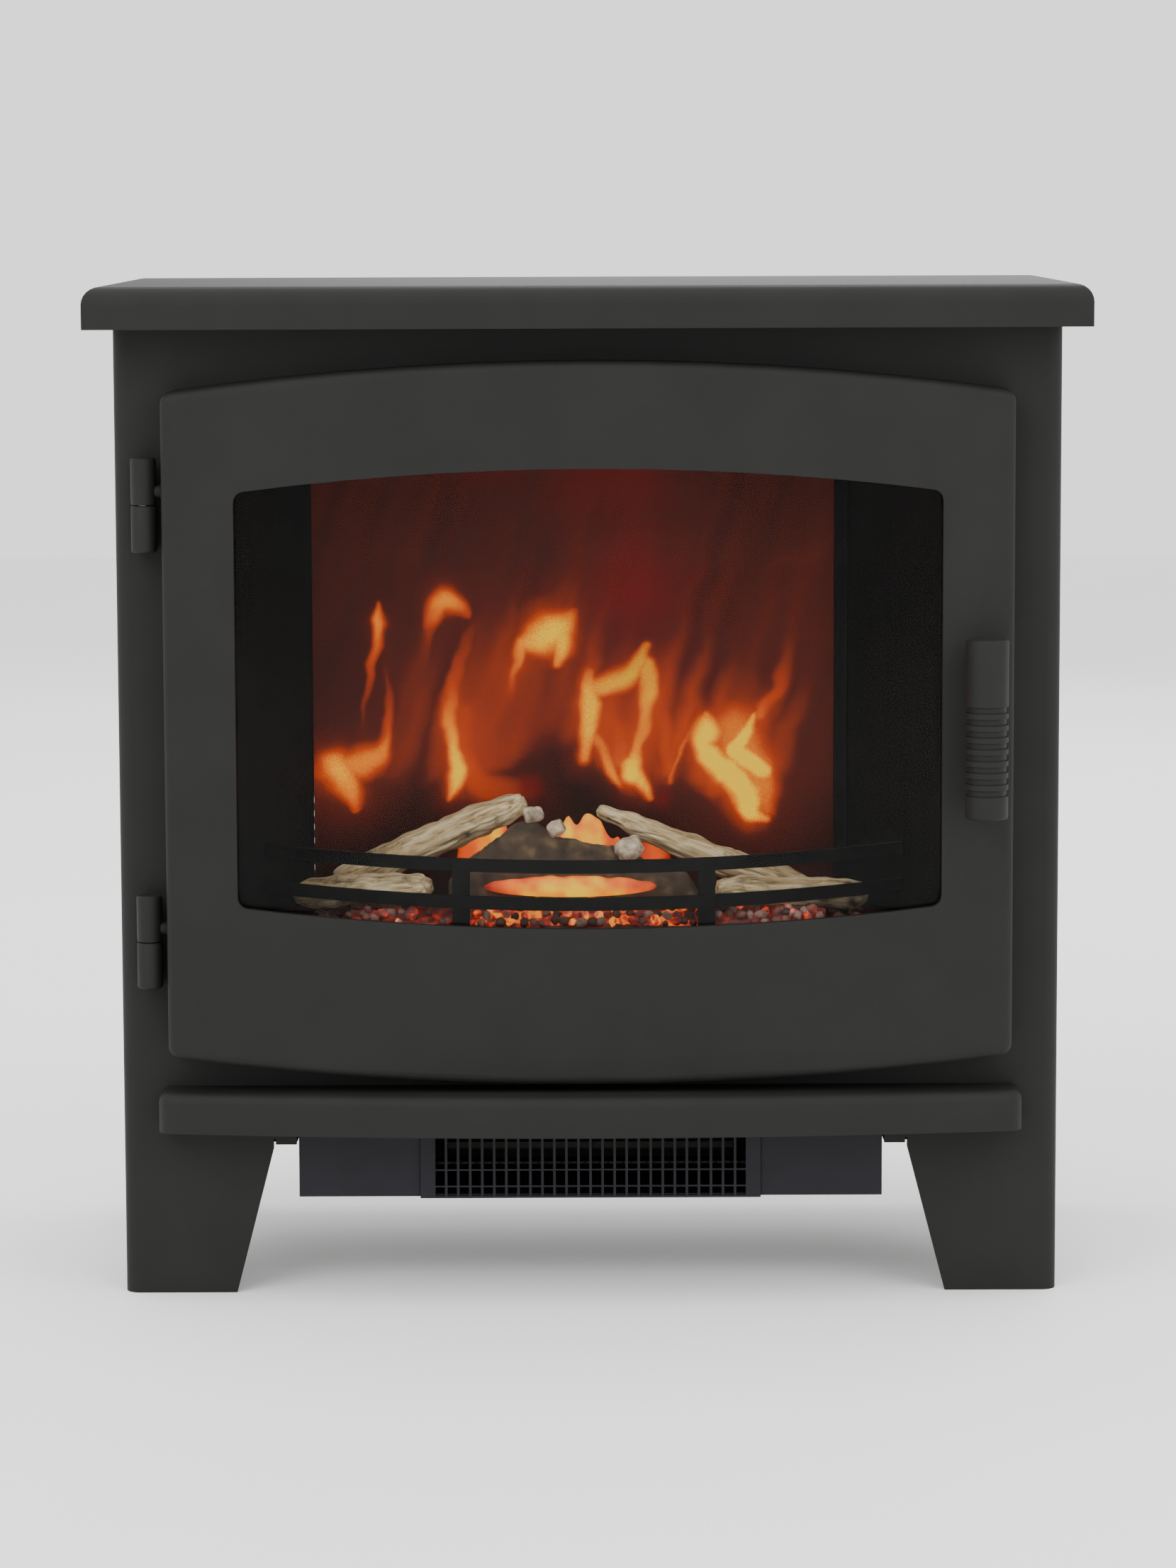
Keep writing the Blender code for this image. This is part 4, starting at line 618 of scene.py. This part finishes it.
def makeHandle():
    # a round bar with square-cut grooves, on a boss that flares where it meets the bar
    look = handleLook
    low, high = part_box("handle_grip")
    radius = (high.x - low.x) / 2
    axis = Vector(((low.x + high.x) / 2, low.y + radius, 0.0))
    lip, ease, edge = look["lip"] * mm, look["endRound"] * mm, look["edge"] * mm
    profile = [(0.0, high.z)]
    profile += [(radius - ease + ease * s, high.z - ease + ease * c) for s, c in quarterTurn(4)]
    for i in range(look["grooves"]):
        start = high.z - (look["plain"] + i * look["pitch"]) * mm
        end = start - look["groove"] * mm
        bed = radius - look["depth"] * mm
        profile += [(radius, start + lip), (radius - lip, start), (bed, start - lip), (bed, end + lip),
                    (radius - lip, end), (radius, end - lip)]
    profile += [(radius - ease + ease * c, low.z + ease - ease * s) for s, c in quarterTurn(4)]
    profile.append((0.0, low.z))
    shape = bmesh.new()
    turnProfile(shape, profile, 64, Matrix.Translation(axis))
    boss, neck = look["boss"] * mm, look["neck"] * mm
    reach = high.y - axis.y
    stem = [(0.0, radius * 0.5), (boss + neck, radius * 0.55), (boss + neck, radius - 0.4 * mm)]
    stem += [(boss + neck * (1 - s), radius + neck * (1 - c)) for s, c in quarterTurn(5)[1:]]
    stem += [(boss, reach - edge), (boss - edge, reach), (0.0, reach)]
    face = Matrix.Translation((axis.x, axis.y, pivotOf("handle")[2])) @ Matrix.Rotation(-math.pi / 2, 4, "X")
    turnProfile(shape, stem, 48, face)
    replaceNode("handle_grip", shape, finishes["coated_steel"])


hingeLook = {
    "radius": 7.7, "chamfer": 0.9, "collar": 0.25, "collarHeight": 1.2, "seat": 0.3, "stub": 3.8, "neck": 1.4,
    "foot": 0.75, "root": 0.6,
}


def axisHeight(node):
    # the height of the stub's axis, from the part of the node that reaches furthest towards the door
    corners = [vert.co for vert in frame["nodes"][node].data.vertices]
    furthest = max(corner.x for corner in corners)
    heights = [corner.z for corner in corners if corner.x > furthest - 0.1 * mm]
    return (min(heights) + max(heights)) / 2


def makeHinges():
    # turned knuckles with a bevelled end and a fine collar at the joint; a stub or a foot carries each
    look = hingeLook
    axis = pivotOf("door")
    radius, chamfer = look["radius"] * mm, look["chamfer"] * mm
    collar, collarHeight, seat = look["collar"] * mm, look["collarHeight"] * mm, look["seat"] * mm
    stub, neck, root = look["stub"] * mm, look["neck"] * mm, radius * look["root"]
    for node, way in (("upper_casing_knuckle", -1), ("upper_door_knuckle", 1),
                      ("lower_casing_knuckle", -1), ("lower_door_knuckle", 1)):
        low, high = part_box(node)
        joined, far = (high.z, low.z) if way < 0 else (low.z, high.z)
        profile = [
            (0.0, far), (radius - chamfer, far), (radius, far - way * chamfer),
            (radius, joined + way * collarHeight * 1.3), (radius - collar, joined + way * collarHeight),
            (radius - collar, joined + way * seat), (radius - 2 * collar, joined), (0.0, joined)]
        shape = bmesh.new()
        turnProfile(shape, profile, 48, Matrix.Translation((axis[0], axis[1], 0.0)))
        if way > 0:
            near, end = axis[0] + root, high.x
            stem = [(0.0, near), (stub, near), (stub, end - neck), (stub + neck, end), (0.0, end)]
            lay = Matrix.Translation((0.0, axis[1], axisHeight(node))) @ Matrix.Rotation(math.pi / 2, 4, "Y")
            turnProfile(shape, stem, 32, lay)
        else:
            half = radius * look["foot"]
            addBlock(shape, (axis[0] - half, axis[1] + root, low.z),
                     (axis[0] + half, high.y, high.z - collarHeight))
        replaceNode(node, shape, finishes["coated_steel"])


makeHandle()
makeHinges()
print("handle and hinges ready")


def smoothedCopy(node, levels):
    # the node's closed mesh, subdivided until it can take carved detail
    shape = weldedCopy(node)
    bmesh.ops.join_triangles(
        shape, faces=shape.faces[:], angle_face_threshold=0.7, angle_shape_threshold=1.2)
    rough = addObject("rough", meshOf("rough", shape))
    smooth = rough.modifiers.new("smooth", "SUBSURF")
    smooth.levels = levels
    smooth.render_levels = levels
    evaluated = rough.evaluated_get(bpy.context.evaluated_depsgraph_get())
    carved = bmesh.new()
    carved.from_mesh(evaluated.to_mesh())
    evaluated.to_mesh_clear()
    bpy.data.objects.remove(rough)
    return carved


def longAxis(shape):
    places = np.array([corner.co for corner in shape.verts])
    centre = places.mean(0)
    axis = Vector(np.linalg.svd(places - centre, full_matrices=False)[2][0])
    return (axis if axis.x > 0 else -axis), Vector(centre)


def carve(shape, depthAt):
    # pushes each point along its normal by depthAt(place)
    shape.normal_update()
    for corner in shape.verts:
        corner.co += corner.normal * depthAt(corner.co)


logLook = {"fibre": 2.2, "long": 16.0, "groove": 1.5, "split": 2.2, "swell": 1.8, "lump": 13.0}


def makeLog(node, seed):
    # weathered wood: fibres and splits that run along the branch, and a broken end
    look = logLook
    shape = smoothedCopy(node, 3)
    axis, centre = longAxis(shape)
    side = axis.cross(Vector((0, 0, 1))).normalized()
    rise = side.cross(axis)

    def depthAt(place):
        local = (place - centre) / mm
        u, v, w = local.dot(axis), local.dot(side), local.dot(rise)
        bend = 1.5 * noise.noise(Vector((u / 12.0, seed, 0.0)))
        fibre = noise.noise(Vector((
            u / look["long"], (v + bend) / look["fibre"], (w + bend) / look["fibre"] + seed)))
        coarse = noise.noise(Vector((u / 30.0, (v + bend) / 5.0 + seed, (w + bend) / 5.0)))
        split = (1.0 - min(1.0, abs(coarse) * 7.0)) ** 2
        swell = noise.noise(Vector((u / look["lump"] + seed, v / look["lump"], w / look["lump"])))
        return (look["groove"] * 0.5 * fibre + look["swell"] * swell - look["split"] * 0.5 * split) * mm

    carve(shape, depthAt)
    material = driftwoodResin("driftwoodResin_" + camelName(node), axis, centre)
    replaceNode(node, shape, material, sharp=60)


stoneLook = {"facet": 5.0, "facetDepth": 1.1, "pit": 1.6, "pitDepth": 0.3}


def makeStone(node, seed):
    look = stoneLook

    def depthAt(place):
        facet = noise.noise(place / (look["facet"] * mm) + Vector((seed, 0, 0)))
        pit = noise.noise(place / (look["pit"] * mm))
        return (look["facetDepth"] * facet + look["pitDepth"] * pit) * mm

    shape = smoothedCopy(node, 3)
    carve(shape, depthAt)
    replaceNode(node, shape, finishes["stone"], sharp=60)


def makeHeap(name, low, high, cell, heightAt, slot, nodes=()):
    # a heap with a flat foot: heightAt gives its top and its glow, over the box from low to high
    shape = bmesh.new()
    size = high - low
    stand = Matrix.Translation((low + high) / 2) @ Matrix.Diagonal((size.x / 2, size.y / 2, 1.0, 1.0))
    bmesh.ops.create_grid(
        shape, x_segments=round(size.x / (cell * mm)), y_segments=round(size.y / (cell * mm)), size=1.0,
        matrix=stand)
    glow = shape.verts.layers.float.new("glow")
    for corner in shape.verts:
        top, heat = heightAt(corner.co.x, corner.co.y)
        corner.co.z = low.z + max(top, 0.0)
        corner[glow] = max(0.0, heat)
    closeSheet(shape, 2, low.z - 2.0 * mm)
    finishPiece(name, shape, finishes[slot], slot, nodes=nodes, sharp=70)


bedLow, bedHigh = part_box("ember_bed")
bedMiddle = (bedLow.x + bedHigh.x) / 2
bedFront = bedLow.y + 0.6 * mm
moundLook = {
    "cell": 1.3, "fall": 2.2,
    # the hill's outline, as (across from the bed's middle, up)
    "ridge": [(-86, 24), (-80, 34), (-66, 43), (-54, 54), (-44, 61), (-34, 63), (-22, 54), (-4, 49),
              (15, 46), (28, 40), (40, 36), (52, 33), (62, 29), (68, 16)],
}


def makeCharredMound():
    # a hill of burnt wood: coarse cracks and small scales
    low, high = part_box("charred_log")
    acrossRidge, upRidge = zip(*moundLook["ridge"])
    start = Vector((bedMiddle + acrossRidge[0] * mm, low.y, low.z))
    end = Vector((bedMiddle + acrossRidge[-1] * mm, high.y, high.z))
    centre, half = (low.y + high.y) / 2, (high.y - low.y) / 2

    def heightAt(x, y):
        place = Vector((x, y, 0.0)) / mm
        top = np.interp(x / mm - bedMiddle / mm, acrossRidge, upRidge)
        fall = 1.0 - abs((y - centre) / half) ** moundLook["fall"]
        crack = (1.0 - min(1.0, abs(noise.noise(place / 7.0)) * 6.0)) ** 2
        rough = 2.2 * noise.noise(place / 10.0) + 0.9 * noise.noise(place / 3.4) - 1.2 * crack
        return (top * max(0.0, fall) ** 0.7 + rough * fall) * mm, 0.0

    makeHeap("charredMound", start, end, moundLook["cell"], heightAt, "charred_wood", ["charred_log"])


for index, node in enumerate(("left_log", "right_log", "left_front_log", "right_front_log")):
    makeLog(node, 3.1 + 2.7 * index)
makeCharredMound()
for index, node in enumerate(("left_stone", "middle_stone", "right_stone")):
    makeStone(node, 1.7 * index)
print("fuel ready")


emberLook = {
    "foot": 3.0, "depth": 17.0, "rise": 13.5, "reach": 146.0, "cell": 2.0, "spacing": 6.2, "rowShare": 0.72,
    "size": (2.7, 4.2), "dense": 70.0, "cinders": 420, "cinderReach": 0.74, "batch": 24,
}


def makeEmberBed():
    # the bed itself keeps the CAD solid's form, and glows towards its middle
    shape = smoothedCopy("ember_bed", 0)
    glow = shape.verts.layers.float.new("glow")
    for corner in shape.verts:
        fade = max(0.0, 1.0 - (corner.co.x / (140.0 * mm)) ** 2)
        corner[glow] = fade * max(0.0, 0.30 + 0.5 * noise.noise(corner.co / (16.0 * mm)))
    replaceNode("ember_bed", shape, finishes["ember_resin"], sharp=80)


def bankHeight(across, back):
    # how high the bank of embers lies, in millimetres above its foot
    fall = 1.0 - 0.45 * min(1.0, abs(across) / 130.0) ** 2
    bump = noise.noise(Vector((across / 9.0, back / 9.0, 4.0)))
    return emberLook["rise"] * min(1.0, back / emberLook["depth"]) ** 0.8 * fall + 1.2 * bump


def makeEmberBank():
    # ash and embers heaped from the fret up to the foot of the mound
    look = emberLook
    low = Vector((bedMiddle - look["reach"] * mm, bedFront, bedHigh.z - look["foot"] * mm))
    high = Vector((bedMiddle + look["reach"] * mm, bedFront + look["depth"] * mm, bedHigh.z))

    def heightAt(x, y):
        across, back = (x - bedMiddle) / mm, (y - bedFront) / mm
        heat = 0.80 + 0.7 * noise.noise(Vector((across / 14.0, back / 8.0, 9.0)))
        return bankHeight(across, back) * mm, heat * (1.0 if abs(across) < look["dense"] else 0.35)

    makeHeap("emberBank", low, high, look["cell"], heightAt, "ember_resin")


def addPebble(shape, spot, size, warmth, grey, draw):
    # one dented lump of resin
    glow, ash = shape.verts.layers.float["glow"], shape.verts.layers.float["ash"]
    lean = Matrix.Rotation(draw.uniform(0, math.tau), 4, (draw.random(), draw.random(), 1.0))
    spread = Matrix.Diagonal((size * mm, size * draw.uniform(0.65, 0.95) * mm, size * 0.75 * mm, 1.0))
    stand = Matrix.Translation(spot) @ lean @ spread
    own = bmesh.ops.create_uvsphere(shape, u_segments=8, v_segments=6, radius=1.0, matrix=stand)["verts"]
    for corner in own:
        corner.co += (corner.co - spot) * 0.35 * noise.noise(corner.co / (2.2 * mm))
        corner[glow] = max(0.0, warmth * (0.8 + 0.8 * noise.noise(corner.co / (3.0 * mm))))
        corner[ash] = grey


def pebbleSpots(draw):
    # where each lump lies, how big, how warm and how grey it is: glowing ones in front, cold cinders behind
    look = emberLook
    foot = bedHigh.z - look["foot"] * mm
    step = look["spacing"] * look["rowShare"]
    for row in range(int(look["depth"] / step) + 1):
        for column in range(int(2 * look["reach"] / look["spacing"])):
            across = -look["reach"] + (column + 0.5 * (row % 2)) * look["spacing"] + draw.uniform(-1.6, 1.6)
            back = row * step + draw.uniform(-1.0, 1.0)
            dense = abs(across) < look["dense"]
            if not dense and draw.random() < 0.35:
                continue
            size = draw.uniform(*look["size"])
            height = bankHeight(across, max(back, 0.0)) + 0.4 * size
            spot = Vector((bedMiddle + across * mm, bedFront + back * mm, foot + height * mm))
            yield spot, size, draw.random() ** 1.2 * (1.35 if dense else 0.85), draw.random()
    left, right = bedLow.x * look["cinderReach"], bedHigh.x * look["cinderReach"]
    behind = bedFront + look["depth"] * mm
    for index in range(look["cinders"]):
        spot = Vector((draw.uniform(left, right), draw.uniform(behind, bedHigh.y - 5 * mm), foot))
        yield spot, draw.uniform(*look["size"]) * 1.15, 0.35 * draw.random(), draw.uniform(0.0, 0.6)


def makeEmberPebbles():
    # the lumps are made in small batches, which are then joined
    draw = random.Random(12)
    spots = list(pebbleSpots(draw))
    shape = bmesh.new()
    for start in range(0, len(spots), emberLook["batch"]):
        batch = bmesh.new()
        batch.verts.layers.float.new("glow")
        batch.verts.layers.float.new("ash")
        for spot, size, warmth, grey in spots[start:start + emberLook["batch"]]:
            addPebble(batch, spot, size, warmth, grey, draw)
        joinTo(shape, batch)
    finishPiece("emberPebbles", shape, finishes["cinders"], "ember_resin", sharp=70)


glowLook = {
    # name: middle across, back from the embers' front, foot and top above the embers' top, half-width, heat
    "creviceGlow": (-11.0, 9.0, 13.0, 26.0, 53.0, 1.0),
    "leftHeartGlow": (-64.0, 88.0, -34.0, 58.0, 19.5, 0.95),
    "middleHeartGlow": (-2.0, 88.0, -34.0, 54.0, 26.0, 1.05),
    "rightHeartGlow": (42.0, 88.0, -30.0, 45.0, 11.0, 0.45),
}


def makeGlow(name, across, back, foot, top, half, warmth):
    # a hump of bare amber resin with light under it
    middle = Vector((bedMiddle + across * mm, bedFront + back * mm, bedHigh.z + (foot + top) / 2 * mm))
    shape = bmesh.new()
    bmesh.ops.create_icosphere(shape, subdivisions=5, radius=1.0)
    glow = shape.verts.layers.float.new("glow")
    for corner in shape.verts:
        side = corner.co.x
        bump = noise.noise(Vector((side * half / 9.0, corner.co.z, across)))
        rise = (top - foot) / 2 * (1.0 + (0.4 * bump if corner.co.z > 0 else 0.0))
        edge = abs(side) ** 2.2 + 0.35 * max(0.0, corner.co.z) ** 4
        corner[glow] = max(0.0, warmth * (1.0 - 0.75 * min(1.0, edge)) * (0.92 + 0.4 * bump))
        corner.co = middle + Vector((side * half, corner.co.y * 4.0, corner.co.z * rise)) * mm
    finishPiece(name, shape, finishes["hotResin"], "ember_resin", sharp=80)


makeEmberBank()
makeEmberPebbles()
for name, values in glowLook.items():
    makeGlow(name, *values)
makeEmberBed()
print("embers ready")


elementLook = {
    "turns": 46, "coil": 2.6, "wire": 0.45, "rod": 1.4, "drop": 5.0, "foot": 4.0, "stepsPerTurn": 10,
}


def makeHeatingElement():
    # a ceramic rod wound with a coil of resistance wire, on two mica feet
    look = elementLook
    low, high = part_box("heating_element")
    radius, core, foot, drop = look["coil"] * mm, look["rod"] * mm, look["foot"] * mm, look["drop"] * mm
    y, axisZ = (low.y + high.y) / 2, high.z - drop
    shape = bmesh.new()
    lay = Matrix.Translation((0.0, y, axisZ)) @ Matrix.Rotation(math.pi / 2, 4, "Y")
    turnProfile(shape, [(0.0, low.x), (core, low.x), (core, high.x), (0.0, high.x)], 16, lay)
    for side in (low.x, high.x - foot):
        addBlock(shape, (side, low.y, low.z), (side + foot, high.y, high.z))
    start, end = low.x + 5.0 * mm, high.x - 5.0 * mm
    steps = look["turns"] * look["stepsPerTurn"]
    stand = Matrix.Translation((start, y, axisZ + radius)) @ Matrix.Rotation(math.pi / 2, 4, "X")
    ring = bmesh.ops.create_circle(
        shape, cap_ends=False, segments=5, radius=look["wire"] * mm, matrix=stand)["verts"]
    edges = list({edge for vert in ring for edge in vert.link_edges})
    bmesh.ops.spin(
        shape, geom=ring + edges, cent=(start, y, axisZ), axis=(1, 0, 0), dvec=((end - start) / steps, 0, 0),
        angle=math.tau * look["turns"], steps=steps)
    bmesh.ops.holes_fill(shape, edges=rimOf(shape))
    bmesh.ops.recalc_face_normals(shape, faces=shape.faces)
    # the element takes the steel darkened as painted shade
    replaceNode("heating_element", shape, finishes["tintedSteel"], sharp=50)


glandLook = {"ribs": 5, "ribDepth": 0.6, "ribPitch": 2.1, "lip": 4.0, "wall": 3.5}


def makeCableGland():
    # a push-in grommet with a ribbed sleeve inside and a rounded lip outside
    look = glandLook
    low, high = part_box("cable_gland")
    centre = (low + high) / 2
    rim, lip = (high.x - low.x) / 2, look["lip"] * mm
    sleeve = rim - lip
    bore = sleeve - look["wall"] * mm
    length = high.y - low.y
    profile = [(bore, 0.0), (sleeve - 0.5 * mm, 0.0)]
    for i in range(look["ribs"]):
        start = (1.0 + i * look["ribPitch"]) * mm
        profile += [(sleeve, start), (sleeve, start + 1.0 * mm),
                    (sleeve - look["ribDepth"] * mm, start + 1.5 * mm)]
    profile += [(sleeve - 0.2 * mm, length - lip), (rim, length - lip), (rim, length - 2.0 * mm),
                (rim - 1.2 * mm, length - 0.5 * mm), (rim - 2.5 * mm, length), (bore, length), (bore, 0.0)]
    shape = bmesh.new()
    lay = Matrix.Translation((centre.x, low.y, centre.z)) @ Matrix.Rotation(-math.pi / 2, 4, "X")
    turnProfile(shape, profile, 40, lay)
    replaceNode("cable_gland", shape, finishes["rubber"])


screwLook = {
    "head": 3.4, "height": 1.9, "recess": 1.5, "recessDepth": 1.1, "perRow": 4,
    "backInset": 9.0, "retainerInset": 4.0, "retainerEnd": 20.0,
}


def addScrew(shape, place):
    # a pan-head screw with a sunk recess, its head facing backwards
    look = screwLook
    head, height = look["head"] * mm, look["height"] * mm
    recess, bed = look["recess"] * mm, height - look["recessDepth"] * mm
    turn = Vector((0, 0, 1)).rotation_difference(Vector((0, 1, 0))).to_matrix().to_4x4()
    profile = [(0.0, -1.0 * mm), (head * 0.5, -1.0 * mm), (head * 0.5, 0.0), (head, 0.0)]
    profile += [(head - head * 0.62 * (1 - c), height * s) for s, c in quarterTurn(4)[1:]]
    profile += [(recess, height), (recess * 0.45, bed), (0.0, bed)]
    turnProfile(shape, profile, 20, Matrix.Translation(place) @ turn)


def evenSteps(first, last, count):
    return [first + i * (last - first) / (count - 1) for i in range(count)]


def makeScrews():
    look = screwLook
    low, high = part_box("back_panel")
    inset = look["backInset"] * mm
    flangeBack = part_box("left_side_panel")[1].y
    shape = bmesh.new()
    for x in (low.x + inset, high.x - inset):
        for z in evenSteps(low.z + inset, high.z - inset, look["perRow"]):
            addScrew(shape, (x, flangeBack, z))
    finishPiece("backPanelScrews", shape, finishes["steel"], "steel")
    shape = bmesh.new()
    inset, end = look["retainerInset"] * mm, look["retainerEnd"] * mm
    for name in ("upper", "lower"):
        low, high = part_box(name + "_glass_retainer")
        z = high.z - inset if name == "upper" else low.z + inset
        for x in evenSteps(low.x + end, high.x - end, look["perRow"]):
            addScrew(shape, (x, high.y, z))
    finishPiece("glassRetainerScrews", shape, finishes["steel"], "steel", "door")


def makeLenses():
    # a square lens on each diode of both strips
    look = lensLook
    half, sunk, proud = look["half"] * mm, look["sunk"] * mm, look["proud"] * mm
    for node in ("flame_led_strip", "ember_led_strip"):
        low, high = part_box(node)
        y = (low.y + high.y) / 2
        shape = bmesh.new()
        for i in range(look["count"]):
            x = low.x + (high.x - low.x) * (i + 0.5) / look["count"]
            addBlock(shape, (x - half, y - half, high.z - sunk), (x + half, y + half, high.z + proud))
        finishPiece(camelName(node) + "Lenses", shape, finishes["lens"], "circuit")


makeHeatingElement()
makeCableGland()
makeScrews()
makeLenses()
print("fittings ready")


studio = {"floorHalf": 6.0, "sky": "#ffffff", "skyStrength": 1.6}
floorShape = bmesh.new()
bmesh.ops.create_grid(floorShape, x_segments=1, y_segments=1, size=studio["floorHalf"])
floor = addObject("studioFloor", meshOf("studioFloor", floorShape))
# seamless pale paper
floor.data.materials.append(
    mottled("seamlessPaper", 400.0, 2.0, [(0.3, "#f4f4f3"), (0.7, "#f7f7f6")], Roughness=0.9))

world = bpy.data.worlds.new("studioSky")
bpy.context.scene.world = world
world.use_nodes = True
sky = world.node_tree.nodes["Background"]
sky.inputs["Color"].default_value = linearColour(studio["sky"])
sky.inputs["Strength"].default_value = studio["skyStrength"]

lamps = {
    # name: place, aim, size in metres, watts
    "keyPanel": ((-1.8, -2.6, 2.6), (0.0, 0.0, 0.35), 2.2, 60.0),
    "fillPanel": ((2.2, -2.4, 1.8), (0.0, 0.0, 0.35), 2.4, 40.0),
    "topPanel": ((0.0, -0.2, 3.0), (0.0, 0.0, 0.3), 2.6, 40.0),
    "backPanel": ((0.6, 2.8, 2.0), (0.0, 0.0, 0.35), 2.2, 40.0),
}
for name, (place, aim, size, watts) in lamps.items():
    light = bpy.data.lights.new(name, "AREA")
    light.size = size
    light.energy = watts
    lamp = addObject(name, light)
    lamp.location = place
    lamp.rotation_euler = (Vector(place) - Vector(aim)).to_track_quat("Z", "Y").to_euler()

view = {"place": (-0.0016, -3.0337, 0.669), "pitch": 0.1207, "yaw": 0.0003, "roll": -0.0036, "lens": 111.8}
level = Vector((math.cos(view["yaw"]), -math.sin(view["yaw"]), 0.0))
forward = Vector((math.sin(view["yaw"]), math.cos(view["yaw"]), 0.0))
ahead = forward * math.cos(view["pitch"]) - Vector((0.0, 0.0, math.sin(view["pitch"])))
upright = level.cross(ahead)
right = level * math.cos(view["roll"]) + upright * math.sin(view["roll"])
top = upright * math.cos(view["roll"]) - level * math.sin(view["roll"])
camera = addObject("studioCamera", bpy.data.cameras.new("studioCamera"))
camera.data.sensor_fit = "VERTICAL"
camera.data.sensor_height = 36.0
camera.data.lens = view["lens"]
camera.data.clip_end = 50.0
camera.matrix_world = Matrix.Translation(view["place"]) @ Matrix((right, top, -ahead)).transposed().to_4x4()
bpy.context.scene.camera = camera
print("studio ready")
